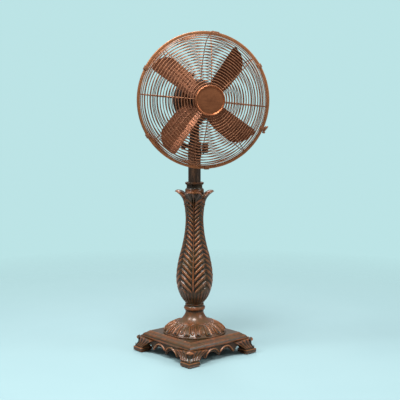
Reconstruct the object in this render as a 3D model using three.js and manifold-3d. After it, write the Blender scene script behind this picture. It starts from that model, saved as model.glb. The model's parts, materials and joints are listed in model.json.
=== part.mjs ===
// Pedestal fan with a carved bronze-look stand: square footed base, leaf-carved column,
// telescopic pole, tilting and oscillating head, four sheet-metal blades in a wire guard.
// Millimetres, +Z up. The pole axis is X = Y = 0, the floor is Z = 0, and the head blows
// towards -Y. The head is stored part-way through its sweep, so the stand is turned under it:
// the stand's pieces are drawn with the front corner of the base towards -Y, then turned.

import * as THREE from 'three';
import { mergeVertices } from 'three/addons/utils/BufferGeometryUtils.js';
import Module from 'manifold-3d';

const wasm = await Module();
wasm.setup();

// ---------------------------------------------------------------- driving dimensions

const GAP = 0.3;                        // clearance left between touching pieces
const HEAD_HEIGHT = 867;                // blade axis above the floor
const STAND_TURN = THREE.MathUtils.degToRad(-19.5);  // stand's front corner, turned towards -X

const GLIDE_HEIGHT = 2.5;
const PAD_REACH = 214.5;                // outer corner of a foot pad from the pole axis
const PAD_HALF = 33;                    // half diagonal of the square foot pad
const PAD_TOP = 16;
const LEG_TOP = 45.7;
const PLATE_BOTTOM = 46;
const PLATE_REACH = 186;                // corner of the base plate from the pole axis
const PLATE_TOP = 71;
const APRON_FACE = 128;                 // outer face of an apron from the pole axis

const DOME_RADIUS = 108;
const DOME_TOP = 145;
const RING_TOP = 172;
const COLUMN_SEAT = 551.5;              // where the lock collar stands on the column
const COLUMN_BORE = 22.5;
const LEAF_START = 512;                 // height where the four leaf heads part
const LEAF_STEM = 33.5;                 // column radius between the leaf heads
const ROD_RADIUS = 5;                   // tie rod down the middle of the base
const ROD_HOLE = ROD_RADIUS + 0.4;

const POLE_RADIUS = 19.7;
const POLE_WALL = 2;
const POLE_BOTTOM = 205;
const POLE_TOP = 671.7;
const TUBE_OUTER = 22.2;
const TUBE_BOTTOM = 90;
const COLLAR_TOP = 591;

const TILT_HEIGHT = 713;                // tilt pivot above the floor
const NECK_RADIUS = 17;
const NECK_TOP = 784.7;
const EAR_INNER = 13.4;
const EAR_OUTER = 20;

const RIM_AHEAD = 125;                  // rim plane ahead of the pole axis
const RIM_RADIUS = 222;
const EDGE_RADIUS = 217.5;              // guard edge rings, held in the rim channel
const DOME_DEPTH = 72;                  // front guard crown ahead of the rim plane
const DOME_FALL = 0.0015;               // how fast the front guard falls away, per mm
const REAR_PLATE = 59.5;                // rear guard centre plate ahead of the pole axis
const BADGE_RADIUS = 49;
const BADGE_AHEAD = 77.2;
const SPOKES = 8;
const SPOKE_TURN = THREE.MathUtils.degToRad(-5.5);

const MOTOR_RADIUS = 70;
const BLADES = 4;
const BLADE_TURN = THREE.MathUtils.degToRad(50.5);
const BLADE_TIP = 201;
const BLADE_AHEAD = 109;
const SHAFT_RADIUS = 5;

// ---------------------------------------------------------------- materials

const finish = (color, roughness, metalness) => () => (
  new THREE.MeshStandardMaterial({ color, roughness, metalness })
);
const agedCopper = finish(0x8a4a2c, 0.42, 0.85);
const carvedBronze = finish(0x6e4430, 0.5, 0.55);
const darkBronze = finish(0x2b1d16, 0.45, 0.7);
const plainSteel = finish(0xa8a9ab, 0.35, 1);
const castIron = finish(0x3a3a3b, 0.75, 0.6);
const darkPlastic = finish(0x17120f, 0.5, 0);
const blackRubber = finish(0x111111, 0.9, 0);

// ---------------------------------------------------------------- shape helpers

// A solid of revolution about +Z from [radius, height] pairs; 4 sides give a corner-on square.
function turned(profile, sides) {
  const points = profile.map(([radius, height]) => new THREE.Vector2(radius, height));
  return new THREE.LatheGeometry(points, sides).rotateX(Math.PI / 2);
}

// The same about the blade axis, with the second number the distance ahead of the pole axis.
function turnedAhead(profile, sides) {
  return turned(profile, sides).rotateX(Math.PI / 2);
}

// Closed wall of a round tube about +Z.
function tubeWall(inner, outer, low, high, sides) {
  return turned([[inner, low], [outer, low], [outer, high], [inner, high], [inner, low]], sides);
}

function rod(radius, low, high, sides) {
  return turned([[0, low], [radius, low], [radius, high], [0, high]], sides);
}

// A rod along X between two places.
function crossRod(radius, left, right, sides) {
  return rod(radius, left, right, sides).rotateY(Math.PI / 2);
}

function block(width, depth, height, x, y, z) {
  return new THREE.BoxGeometry(width, depth, height).translate(x, y, z);
}

function solid(geometry) {
  const bare = geometry.clone();
  bare.deleteAttribute('normal');
  bare.deleteAttribute('uv');
  const merged = mergeVertices(bare, 1e-4);
  return new wasm.Manifold(new wasm.Mesh({
    numProp: 3,
    vertProperties: new Float32Array(merged.attributes.position.array),
    triVerts: new Uint32Array(merged.index.array),
  }));
}

function geometryOf(manifold) {
  const mesh = manifold.getMesh();
  const geometry = new THREE.BufferGeometry();
  geometry.setAttribute('position', new THREE.BufferAttribute(new Float32Array(mesh.vertProperties), 3));
  geometry.setIndex(new THREE.BufferAttribute(new Uint32Array(mesh.triVerts), 1));
  return geometry;
}

function joined(...geometries) {
  return geometryOf(geometries.map(solid).reduce((whole, next) => whole.add(next)));
}

function cut(geometry, ...tools) {
  return geometryOf(tools.map(solid).reduce((rest, tool) => rest.subtract(tool), solid(geometry)));
}

function place(parent, name, geometry, material) {
  const mesh = new THREE.Mesh(geometry, material);
  mesh.name = name;
  parent.add(mesh);
  return mesh;
}

// A closed sheet of even thickness: pointAt(u, v) gives the middle surface for u, v from 0 to 1.
function sheet(pointAt, lengthSteps, widthSteps, thickness, thickAxis) {
  const positions = [];
  for (const side of [-0.5, 0.5]) {
    for (let i = 0; i <= lengthSteps; i += 1) {
      for (let j = 0; j <= widthSteps; j += 1) {
        const point = pointAt(i / lengthSteps, j / widthSteps);
        point.addScaledVector(thickAxis, side * thickness);
        positions.push(point.x, point.y, point.z);
      }
    }
  }
  const row = widthSteps + 1;
  const layer = (lengthSteps + 1) * row;
  const index = [];
  const quad = (a, b, c, d) => index.push(a, b, c, a, c, d);
  for (let i = 0; i < lengthSteps; i += 1) {
    for (let j = 0; j < widthSteps; j += 1) {
      const a = i * row + j;
      quad(a, a + row, a + row + 1, a + 1);
      quad(layer + a, layer + a + 1, layer + a + row + 1, layer + a + row);
    }
    const low = i * row;
    const high = low + widthSteps;
    quad(low, layer + low, layer + low + row, low + row);
    quad(high, high + row, layer + high + row, layer + high);
  }
  for (let j = 0; j < widthSteps; j += 1) {
    const far = lengthSteps * row + j;
    quad(j, j + 1, layer + j + 1, layer + j);
    quad(far, layer + far, layer + far + 1, far + 1);
  }
  const geometry = new THREE.BufferGeometry();
  geometry.setAttribute('position', new THREE.Float32BufferAttribute(positions, 3));
  geometry.setIndex(index);
  return geometry;
}

// ---------------------------------------------------------------- base

function basePlate() {
  const edge = PLATE_REACH;
  return cut(turned([
    [0, PLATE_BOTTOM], [edge - 6, PLATE_BOTTOM], [edge, PLATE_BOTTOM + 4], [edge, PLATE_BOTTOM + 8],
    [edge - 4, PLATE_BOTTOM + 14], [edge - 14, PLATE_TOP - 4], [edge - 26, PLATE_TOP + 1],
    [edge - 32, PLATE_TOP], [0, PLATE_TOP],
  ], 4), rod(6, PLATE_BOTTOM - 5, PLATE_TOP + 5, 16));
}

// A foot under the corner that points along -Y: square pad, flared leg and a corner knob.
function foot() {
  const centre = PAD_REACH - PAD_HALF;
  const pad = turned([
    [0, GLIDE_HEIGHT + GAP], [PAD_HALF - 2, GLIDE_HEIGHT + GAP], [PAD_HALF, GLIDE_HEIGHT + 2],
    [PAD_HALF, PAD_TOP - 2], [PAD_HALF - 2, PAD_TOP], [0, PAD_TOP],
  ], 4).translate(0, -centre, 0);
  const leg = turned([
    [0, PAD_TOP - 2], [22, PAD_TOP - 2], [22, PAD_TOP + 8], [28, PAD_TOP + 20], [40, LEG_TOP],
    [0, LEG_TOP],
  ], 4).translate(0, -centre + 20, 0);
  const shin = turned([
    [0, PAD_TOP - 2], [23, PAD_TOP - 2], [19, PAD_TOP + 8], [20, LEG_TOP], [0, LEG_TOP],
  ], 4).translate(0, -centre, 0);
  const knob = new THREE.SphereGeometry(9, 8, 6).translate(0, -PLATE_REACH - 9.5, LEG_TOP + 2);
  return joined(pad, leg, shin, knob);
}

function glide() {
  return rod(15, 0, GLIDE_HEIGHT, 16).translate(0, -(PAD_REACH - PAD_HALF), 0);
}

// An apron hangs under one side of the plate: two arches either side of a pointed pendant.
function apron() {
  const halfLength = 85;
  const top = PLATE_BOTTOM - GAP;
  const half = new THREE.Path();
  half.moveTo(0, 13);
  half.quadraticCurveTo(5, 14, 8, 21);
  half.quadraticCurveTo(14, 31, 33, 31);
  half.quadraticCurveTo(52, 31, 58, 22);
  half.quadraticCurveTo(64, 13, 71, 19);
  half.quadraticCurveTo(76, 29, halfLength, 32);
  const right = half.getPoints(4);
  const left = right.slice(1).map((point) => new THREE.Vector2(-point.x, point.y)).reverse();
  const outline = new THREE.Shape([
    ...left, ...right, new THREE.Vector2(halfLength, top), new THREE.Vector2(-halfLength, top),
  ]);
  const geometry = new THREE.ExtrudeGeometry(outline, { depth: 9, bevelEnabled: false });
  return geometry.rotateX(Math.PI / 2).translate(0, -APRON_FACE + 9, 0);
}

function baseDome() {
  const bottom = PLATE_TOP + GAP;
  return turned([
    [6, bottom], [DOME_RADIUS, bottom], [DOME_RADIUS, bottom + 4], [DOME_RADIUS - 4, bottom + 7],
    [98, 92], [84, 99], [75, 106], [63, 108.5], [52, 114], [42, 120], [34, 130],
    [31, DOME_TOP], [COLUMN_BORE, DOME_TOP], [COLUMN_BORE, TUBE_BOTTOM - GAP],
    [6, TUBE_BOTTOM - GAP], [6, bottom],
  ], 24);
}

// ---------------------------------------------------------------- column and pole

function columnRing() {
  const low = DOME_TOP + GAP;
  return turned([
    [COLUMN_BORE, low], [31, low], [35, low + 5], [36.5, low + 11], [35, low + 17],
    [31, RING_TOP], [COLUMN_BORE, RING_TOP], [COLUMN_BORE, low],
  ], 24);
}

function column() {
  const low = RING_TOP + GAP;
  const geometry = turned([
    [COLUMN_BORE, low], [31, low], [38, 185], [47.5, 199], [57.5, 222], [62.2, 250], [61.5, 285],
    [55, 317], [44, 364], [34.5, 408], [29.8, 455], [30.5, 495], [33.5, LEAF_START], [39, 530],
    [48, 543], [66.5, 559], [60, 564], [51, 565], [41, 561], [36, 555], [34, COLUMN_SEAT],
    [COLUMN_BORE, COLUMN_SEAT], [COLUMN_BORE, low],
  ], 24);
  const position = geometry.attributes.position;
  for (let i = 0; i < position.count; i += 1) {
    const x = position.getX(i);
    const y = position.getY(i);
    const z = position.getZ(i);
    const radius = Math.hypot(x, y);
    if (radius > LEAF_STEM + 1 && z > LEAF_START) {
      const middle = Math.abs(Math.cos(2 * Math.atan2(y, x)));       // 1 on a leaf, 0 between two
      const shrink = (LEAF_STEM + (radius - LEAF_STEM) * (0.15 + 0.85 * middle ** 1.3)) / radius;
      const drop = 0.5 * (z - LEAF_START) * (1 - middle) ** 1.5;
      position.setXYZ(i, x * shrink, y * shrink, z - drop);
    }
  }
  return geometry;
}

function lockCollar() {
  const low = COLUMN_SEAT + GAP + 0.5;
  const bore = TUBE_OUTER + 0.4;
  const lip = COLLAR_TOP - 3;
  return turned([
    [bore, low], [29, low], [32, low + 4], [32, low + 14], [27, low + 19], [27, low + 29],
    [31, low + 32], [31, COLLAR_TOP - 2], [29, COLLAR_TOP], [POLE_RADIUS + 0.6, COLLAR_TOP],
    [POLE_RADIUS + 0.6, lip], [bore, lip], [bore, low],
  ], 20);
}

// ---------------------------------------------------------------- tilt joint and controls

function tiltBracket() {
  const seat = rod(21, POLE_TOP + GAP, 692, 20);
  const plug = rod(POLE_RADIUS - POLE_WALL - GAP, POLE_TOP - 30, POLE_TOP + 1, 20);
  const width = EAR_OUTER - EAR_INNER;
  const middle = (EAR_OUTER + EAR_INNER) / 2;
  const parts = [seat, plug, block(24, 14, 16, 0, BOX_FRONT - GAP - 7, 684)];
  for (const side of [-1, 1]) {
    parts.push(block(width, 30, 26, side * middle, 0, 700));
    parts.push(crossRod(15, -width / 2, width / 2, 16).translate(side * middle, 0, TILT_HEIGHT));
  }
  return cut(joined(...parts), crossRod(4.3, -30, 30, 16).translate(0, 0, TILT_HEIGHT));
}

function neck() {
  const barrel = rod(NECK_RADIUS, TILT_HEIGHT + 17, NECK_TOP, 20);
  const lug = crossRod(14.5, -EAR_INNER + GAP, EAR_INNER - GAP, 16).translate(0, 0, TILT_HEIGHT);
  const web = block(2 * (EAR_INNER - GAP), 24, 24, 0, 0, TILT_HEIGHT + 12);
  const hole = crossRod(4.3, -30, 30, 16).translate(0, 0, TILT_HEIGHT);
  return cut(joined(barrel, lug, web), hole, rod(8.4, NECK_TOP - 42, NECK_TOP + 5, 16));
}

function tiltBolt() {
  const shank = crossRod(4, -41, EAR_OUTER + 1, 16);
  const head = crossRod(8, EAR_OUTER + GAP, EAR_OUTER + 5.3, 6);
  return joined(shank, head).translate(0, 0, TILT_HEIGHT);
}

function tiltKnob() {
  const grip = crossRod(10.5, -45, -31, 20);
  const stem = crossRod(7, -32, -EAR_OUTER - GAP, 16);
  const parts = [grip, stem];
  for (let lobe = 0; lobe < 5; lobe += 1) {
    const turn = (lobe / 5) * 2 * Math.PI;
    parts.push(crossRod(4, -45, -33, 10).translate(0, 9 * Math.cos(turn), 9 * Math.sin(turn)));
  }
  return cut(joined(...parts), crossRod(4.3, -41.4, 0, 16)).translate(0, 0, TILT_HEIGHT);
}

const BOX_FRONT = 24;
const BOX_SPLIT = 39;
const BOX_BACK = 52;
const BOX_LOW = 683;
const BOX_HIGH = 726;
const BOX_MIDDLE = (BOX_LOW + BOX_HIGH) / 2;
const BOX_WALL = 2.5;
const SWITCH_PLACE = { y: 32, z: 704 };

function controlBox() {
  const depth = BOX_SPLIT - BOX_FRONT;
  const height = BOX_HIGH - BOX_LOW;
  const shell = block(40, depth, height, 0, (BOX_FRONT + BOX_SPLIT) / 2, BOX_MIDDLE);
  const inside = block(40 - 2 * BOX_WALL, depth, height - 2 * BOX_WALL, 0,
    BOX_FRONT + BOX_WALL + depth / 2, BOX_MIDDLE);
  const spindleHole = crossRod(3.5, 10, 30, 16).translate(0, SWITCH_PLACE.y, SWITCH_PLACE.z);
  return cut(shell, inside, spindleHole);
}

function controlCover() {
  const depth = BOX_BACK - BOX_SPLIT - GAP;
  const height = BOX_HIGH - BOX_LOW;
  const middle = (BOX_BACK + BOX_SPLIT + GAP) / 2;
  const shell = block(40, depth, height, 0, middle, BOX_MIDDLE);
  const inside = block(40 - 2 * BOX_WALL, depth, height - 2 * BOX_WALL, 0, middle - BOX_WALL, BOX_MIDDLE);
  return cut(shell, inside);
}

function switchBody() {
  return block(24, 10, 24, -1, SWITCH_PLACE.y, SWITCH_PLACE.z);
}

function speedKnob() {
  const skirt = crossRod(19, 25, 31, 20);
  const grip = crossRod(16.5, 30, 43, 20);
  const pointer = block(4, 3.5, 32, 43, 0, 0);
  const spindle = crossRod(3, 11.5, 26, 12);
  return joined(skirt, grip, pointer, spindle).translate(0, SWITCH_PLACE.y, SWITCH_PLACE.z);
}

// ---------------------------------------------------------------- guard

// How far the front and the rear guard stand off the rim plane at a radius.
function frontDepth(radius) {
  return DOME_DEPTH - DOME_FALL * radius * radius;
}

function rearDepth(radius) {
  return (REAR_PLATE - RIM_AHEAD) * Math.sqrt(Math.max(0, 1 - (radius / EDGE_RADIUS) ** 4));
}

// One wire ring of square section.
function wireRing(radius, ahead, size, sides) {
  const half = size / 2;
  return turnedAhead([
    [radius - half, ahead], [radius, ahead - half], [radius + half, ahead], [radius, ahead + half],
    [radius - half, ahead],
  ], sides);
}

// A spoke is a flat strip that follows a guard's curve, standing out along +X.
function spoke(path, thickness) {
  const half = thickness / 2;
  const points = path.map(([radius, ahead]) => new THREE.Vector2(radius, ahead));
  const offset = (point, i, distance) => {
    const before = points[Math.max(0, i - 1)];
    const after = points[Math.min(points.length - 1, i + 1)];
    const along = after.clone().sub(before).normalize();
    return new THREE.Vector2(point.x - along.y * distance, point.y + along.x * distance);
  };
  const far = points.map((point, i) => offset(point, i, half));
  const near = points.map((point, i) => offset(point, i, -half)).reverse();
  const strip = new THREE.ExtrudeGeometry(new THREE.Shape([...near, ...far]), {
    depth: thickness, bevelEnabled: false,
  });
  return strip.translate(0, 0, -half).rotateX(Math.PI);
}

function guard(path, rings, plate) {
  const parts = [plate];
  for (const [radius, ahead, size] of rings) {
    parts.push(wireRing(radius, ahead, size, 20));
  }
  for (let i = 0; i < SPOKES; i += 1) {
    const turn = SPOKE_TURN + (i / SPOKES) * 2 * Math.PI;
    parts.push(spoke(path, 3).rotateY(-turn));
  }
  return joined(...parts);
}

function frontGuard() {
  const curve = [45, 95, 150, 198].map((radius) => [radius, RIM_AHEAD + frontDepth(radius)]);
  const path = [...curve, [210.5, RIM_AHEAD + 7], [212, RIM_AHEAD + 2.1], [EDGE_RADIUS, RIM_AHEAD + 2.1]];
  const rings = [82, 128, 174].map((radius) => [radius, RIM_AHEAD + frontDepth(radius), 3.4]);
  rings.push([EDGE_RADIUS, RIM_AHEAD + 2.1, 3.2]);
  const crown = RIM_AHEAD + frontDepth(BADGE_RADIUS);
  const plate = turnedAhead([
    [0, crown - 1.5], [BADGE_RADIUS + 1, crown - 1.5], [BADGE_RADIUS + 1, crown + 1.5], [0, crown + 1.5],
  ], 20);
  return guard(path, rings, plate);
}

function rearGuard() {
  const curve = [58, 120, 165, 195].map((radius) => [radius, RIM_AHEAD + rearDepth(radius)]);
  const path = [...curve, [210.5, RIM_AHEAD - 12], [211.8, RIM_AHEAD - 2.1], [EDGE_RADIUS, RIM_AHEAD - 2.1]];
  const rings = [100, 145, 190].map((radius) => [radius, RIM_AHEAD + rearDepth(radius), 3.4]);
  rings.push([EDGE_RADIUS, RIM_AHEAD - 2.1, 3.2]);
  const plate = turnedAhead([
    [22.4, REAR_PLATE - 1.2], [62, REAR_PLATE - 1.2], [62, REAR_PLATE + 1.2], [22.4, REAR_PLATE + 1.2],
    [22.4, REAR_PLATE - 1.2],
  ], 20);
  return guard(path, rings, plate);
}

// The rim is a channel, open inwards, closed round both guard edges.
function rimRing() {
  const inner = 213.8;
  const half = 5.4;
  const hollow = 4;
  const floor = RIM_RADIUS - 2;
  return turnedAhead([
    [inner, RIM_AHEAD + hollow], [floor, RIM_AHEAD + hollow], [floor, RIM_AHEAD - hollow],
    [inner, RIM_AHEAD - hollow], [inner, RIM_AHEAD - half], [RIM_RADIUS, RIM_AHEAD - half + 1],
    [RIM_RADIUS, RIM_AHEAD + half - 1], [inner, RIM_AHEAD + half], [inner, RIM_AHEAD + hollow],
  ], 48);
}

// A clip is a bent strip over the rim, standing at the end of a radius along +X.
function rimClip(width) {
  const low = 212;
  const inner = RIM_RADIUS + 0.6;
  const outer = inner + 2;
  const hollow = 5.9;
  const side = hollow + 1.8;
  const outline = new THREE.Shape([
    [low, -side], [outer, -side], [outer, side], [low, side], [low, hollow], [inner, hollow],
    [inner, -hollow], [low, -hollow],
  ].map(([radius, ahead]) => new THREE.Vector2(radius, RIM_AHEAD + ahead)));
  const strip = new THREE.ExtrudeGeometry(outline, { depth: width, bevelEnabled: false });
  return strip.translate(0, 0, -width / 2).rotateX(Math.PI);
}

function latchLever() {
  const lever = block(9, 12, 22, RIM_RADIUS + 8.2, -RIM_AHEAD, 4);
  const barrel = rod(3.6, -6, 6, 14).rotateX(Math.PI / 2).translate(RIM_RADIUS + 7.2, -RIM_AHEAD, -9);
  return joined(lever, barrel);
}

function badge() {
  const back = RIM_AHEAD + frontDepth(BADGE_RADIUS) + 1.8;
  const front = RIM_AHEAD + BADGE_AHEAD;
  return turnedAhead([
    [0, back], [BADGE_RADIUS - 4, back], [BADGE_RADIUS, back + 3], [BADGE_RADIUS, front - 2],
    [BADGE_RADIUS - 2, front], [BADGE_RADIUS - 5, front], [BADGE_RADIUS - 6, front - 4], [0, front - 3],
  ], 28);
}

function guardNut() {
  const low = REAR_PLATE + 1.2 + GAP;
  return turnedAhead([
    [22.4, low], [34, low], [34, low + 5], [30, low + 9], [22.4, low + 9], [22.4, low],
  ], 20);
}

// ---------------------------------------------------------------- motor and blades

function motorFrontCover() {
  const radius = MOTOR_RADIUS;
  return turnedAhead([
    [radius, 12], [radius, 40], [radius - 8, 53], [radius - 22, 57.8], [22, 57.8], [22, 72],
    [6.5, 72], [6.5, 66.3], [12.3, 66.3], [12.3, 54], [radius - 24, 54], [radius - 11, 49],
    [radius - 3.2, 38], [radius - 3.2, 12], [radius, 12],
  ], 24);
}

function motorRearCover() {
  const radius = MOTOR_RADIUS;
  const shell = turnedAhead([
    [0, -68], [28, -66], [50, -58], [65, -42], [radius, -20], [radius, 12 - GAP],
    [radius - 3.2, 12 - GAP], [radius - 3.2, -20], [62, -40], [48, -54], [16, -62], [16, -48],
    [12.3, -48], [12.3, -61], [0, -61],
  ], 24);
  return cut(shell, rod(4.5, 30, 80, 16).translate(0, 34, 0));
}

function oscillationKnob() {
  const stem = rod(4, 28, 84, 16);
  const head = turned([[0, 82], [5, 82], [9, 85], [9, 91], [7, 93], [0, 93]], 20);
  return joined(stem, head).translate(0, 34, 0);
}

// The saddle carries the motor on a pin that turns in the neck.
function motorSaddle() {
  const bottom = NECK_TOP + GAP - HEAD_HEIGHT;
  const boss = turned([[0, bottom], [20, bottom], [27, bottom + 6], [27, -52], [0, -52]], 24);
  const motor = turnedAhead([[0, -60], [MOTOR_RADIUS + GAP, -60], [MOTOR_RADIUS + GAP, 60], [0, 60]], 24);
  const pin = rod(8, bottom - 40, bottom + 1, 16);
  return joined(cut(boss, motor), pin);
}

function stator() {
  return turnedAhead([[34, -18], [54, -18], [54, 18], [34, 18], [34, -18]], 24);
}

function rotorCore() {
  const bore = SHAFT_RADIUS + GAP;
  return turnedAhead([[bore, -17], [32.5, -17], [32.5, 17], [bore, 17], [bore, -17]], 24);
}

function shaft() {
  return turnedAhead([[0, -60], [SHAFT_RADIUS, -60], [SHAFT_RADIUS, 137], [0, 137]], 16);
}

function bearing(low, high) {
  const bore = SHAFT_RADIUS + GAP;
  return turnedAhead([[bore, low], [12, low], [12, high], [bore, high], [bore, low]], 16);
}

function bladeHub() {
  const bore = SHAFT_RADIUS + GAP;
  const middle = BLADE_AHEAD;
  return turnedAhead([
    [bore, middle - 22], [15, middle - 22], [17, middle - 8], [34, middle - 6], [34, middle - 2],
    [17, middle], [15, middle + 12], [bore, middle + 12], [bore, middle - 22],
  ], 20);
}

function bladeNut() {
  const bore = SHAFT_RADIUS + GAP;
  const low = BLADE_AHEAD + 12 + GAP;
  const high = low + 12;
  return turnedAhead([[bore, low], [12, low], [12, high - 4], [9, high], [bore, high], [bore, low]], 20);
}

// A blade is a pressed sheet set at an angle, with one edge bent up steeper along a straight
// crease. u runs from root to tip and v across, from the rounded edge to the bent one.
function blade() {
  const root = 36;
  const pointAt = (u, v) => {
    const rounded = -30 - 14 * Math.sin(Math.min(1, 1.8 * u) * Math.PI / 2);
    const straight = 21 + 13 * u;
    const crease = straight - 14 - 8 * u;
    const tip = BLADE_TIP - 42 * (1 - v) ** 3.6 - 9 * Math.max(0, 1 - (1 - v) / 0.12) ** 2;
    const sideways = rounded + (straight - rounded) * v;
    const slope = Math.tan(THREE.MathUtils.degToRad(27 - 10 * u));
    const steep = Math.tan(THREE.MathUtils.degToRad(48 - 10 * u));
    const ahead = Math.min(sideways, crease) * slope + Math.max(0, sideways - crease) * steep;
    return new THREE.Vector3(root + (tip - root) * u, -(BLADE_AHEAD + ahead), sideways);
  };
  return sheet(pointAt, 10, 8, 1.6, new THREE.Vector3(0, 1, 0));
}

// ---------------------------------------------------------------- assembly

const fan = new THREE.Group();
const stand = new THREE.Group();
stand.rotation.z = STAND_TURN;
fan.add(stand);

function addBase() {
  place(stand, 'base_plate', basePlate(), carvedBronze());
  const corners = ['front', 'right', 'back', 'left'];
  corners.forEach((corner, i) => {
    const quarter = new THREE.Group();
    quarter.rotation.z = (i / 4) * 2 * Math.PI;
    stand.add(quarter);
    place(quarter, `foot_${corner}`, foot(), carvedBronze());
    place(quarter, `glide_${corner}`, glide(), blackRubber());
  });
  const sides = ['front_right', 'back_right', 'back_left', 'front_left'];
  sides.forEach((side, i) => {
    const quarter = new THREE.Group();
    quarter.rotation.z = ((i + 0.5) / 4) * 2 * Math.PI;
    stand.add(quarter);
    place(quarter, `apron_${side}`, apron(), carvedBronze());
  });
  const discBottom = PLATE_BOTTOM - 11;
  const washerBottom = discBottom - GAP - 2.3;
  const nutTop = washerBottom - GAP;
  const nut = cut(rod(10, nutTop - 9, nutTop, 6), rod(ROD_HOLE, nutTop - 12, nutTop + 3, 16));
  place(stand, 'ballast_disc', tubeWall(6, 92, discBottom, PLATE_BOTTOM - GAP, 28), castIron());
  place(stand, 'base_washer', tubeWall(ROD_HOLE, 16, washerBottom, discBottom - GAP, 20), plainSteel());
  place(stand, 'base_nut', nut, plainSteel());
  place(stand, 'tie_rod', rod(ROD_RADIUS, nutTop - 12, TUBE_BOTTOM + 14, 16), plainSteel());
  place(stand, 'base_dome', baseDome(), carvedBronze());
  const grommet = turned([[4, 30], [9, 30], [9, 34.7], [4, 34.7], [4, 30]], 16).translate(0, 60, 0);
  place(stand, 'cord_grommet', grommet, blackRubber());
}

function addColumn() {
  place(stand, 'column_ring', columnRing(), carvedBronze());
  place(stand, 'column', column(), carvedBronze());
  const guideTube = tubeWall(POLE_RADIUS + GAP, TUBE_OUTER, TUBE_BOTTOM, COLLAR_TOP - 4, 24);
  place(stand, 'guide_tube', guideTube, plainSteel());
  place(stand, 'tube_plug', tubeWall(ROD_HOLE, POLE_RADIUS, TUBE_BOTTOM, TUBE_BOTTOM + 16, 24), plainSteel());
  place(stand, 'lock_collar', lockCollar(), darkBronze());
}

function addPole() {
  const pole = tubeWall(POLE_RADIUS - POLE_WALL, POLE_RADIUS, POLE_BOTTOM, POLE_TOP, 24);
  place(stand, 'pole', pole, darkBronze());
  place(stand, 'tilt_bracket', tiltBracket(), darkBronze());
  place(stand, 'tilt_bolt', tiltBolt(), plainSteel());
  place(stand, 'tilt_knob', tiltKnob(), darkPlastic());
  place(stand, 'control_box', controlBox(), darkBronze());
  place(stand, 'control_cover', controlCover(), darkBronze());
  place(stand, 'speed_switch', switchBody(), darkPlastic());
  place(stand, 'speed_knob', speedKnob(), darkPlastic());
  place(stand, 'neck', neck(), darkBronze());
}

function addGuard(head) {
  place(head, 'rear_guard', rearGuard(), agedCopper());
  place(head, 'front_guard', frontGuard(), agedCopper());
  place(head, 'rim_ring', rimRing(), agedCopper());
  place(head, 'badge', badge(), agedCopper());
  place(head, 'guard_nut', guardNut(), darkPlastic());
  const latchTurn = 335;
  const clipTurns = [80.5, 31, 152, 211, 272, latchTurn];
  clipTurns.forEach((degrees, i) => {
    const clip = rimClip(i === 0 ? 24 : 14).rotateY(-THREE.MathUtils.degToRad(degrees));
    place(head, `rim_clip_${i + 1}`, clip, agedCopper());
  });
  const lever = latchLever().rotateY(-THREE.MathUtils.degToRad(latchTurn));
  place(head, 'latch_lever', lever, agedCopper());
}

function addMotor(head) {
  place(head, 'motor_front_cover', motorFrontCover(), darkBronze());
  place(head, 'motor_rear_cover', motorRearCover(), darkBronze());
  place(head, 'motor_saddle', motorSaddle(), darkBronze());
  place(head, 'stator', stator(), plainSteel());
  place(head, 'front_bearing', bearing(55, 66), plainSteel());
  place(head, 'rear_bearing', bearing(-60.7, -49), plainSteel());
  place(head, 'oscillation_knob', oscillationKnob(), darkPlastic());
}

function addRotor(head) {
  place(head, 'shaft', shaft(), plainSteel());
  place(head, 'rotor_core', rotorCore(), plainSteel());
  place(head, 'blade_hub', bladeHub(), agedCopper());
  place(head, 'blade_nut', bladeNut(), darkPlastic());
  for (let i = 0; i < BLADES; i += 1) {
    const turn = BLADE_TURN + (i / BLADES) * 2 * Math.PI;
    place(head, `blade_${i + 1}`, blade().rotateY(-turn), agedCopper());
  }
}

function addHead() {
  const head = new THREE.Group();
  head.position.z = HEAD_HEIGHT;
  fan.add(head);
  addGuard(head);
  addMotor(head);
  addRotor(head);
}

addBase();
addColumn();
addPole();
addHead();

export default fan;
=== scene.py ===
"""Looks of the pedestal fan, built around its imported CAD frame. Metres, +Z up, as in the CAD."""

import json
import math

import bpy
import numpy as np
from mathutils import Matrix, Vector

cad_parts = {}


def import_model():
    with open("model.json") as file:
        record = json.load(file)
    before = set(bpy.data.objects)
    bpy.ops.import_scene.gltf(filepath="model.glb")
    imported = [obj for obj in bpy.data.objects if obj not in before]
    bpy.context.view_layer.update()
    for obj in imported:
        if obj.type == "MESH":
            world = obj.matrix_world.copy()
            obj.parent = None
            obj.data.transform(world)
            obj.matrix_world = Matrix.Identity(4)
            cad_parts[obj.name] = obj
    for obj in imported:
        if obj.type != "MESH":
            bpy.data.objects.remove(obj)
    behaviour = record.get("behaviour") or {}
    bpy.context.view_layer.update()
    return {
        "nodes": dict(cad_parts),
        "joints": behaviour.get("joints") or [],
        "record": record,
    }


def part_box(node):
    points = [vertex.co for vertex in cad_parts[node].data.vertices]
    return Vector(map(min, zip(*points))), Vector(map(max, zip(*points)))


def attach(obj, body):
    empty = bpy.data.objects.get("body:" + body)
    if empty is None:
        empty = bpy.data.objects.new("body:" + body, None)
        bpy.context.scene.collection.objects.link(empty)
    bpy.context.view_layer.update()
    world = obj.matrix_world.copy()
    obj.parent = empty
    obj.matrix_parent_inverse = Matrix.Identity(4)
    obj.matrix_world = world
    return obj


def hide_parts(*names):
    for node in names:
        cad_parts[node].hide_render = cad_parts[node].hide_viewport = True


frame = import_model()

RECORD = frame["record"]
BODY_OF = {node: body for body, nodes in RECORD["behaviour"]["bodies"].items() for node in nodes}
SLOT_OF = {part["node"]: part["material_slot"] for part in RECORD["subparts"]}
JOINTS = {joint["name"]: joint for joint in frame["joints"]}


# ---------------------------------------------------------------- places read from the frame


def low(node):
    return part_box(node)[0].z


def high(node):
    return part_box(node)[1].z


def radius_of(node):
    """Half the width of a round node along X."""
    lowest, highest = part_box(node)
    return (highest.x - lowest.x) / 2


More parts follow.
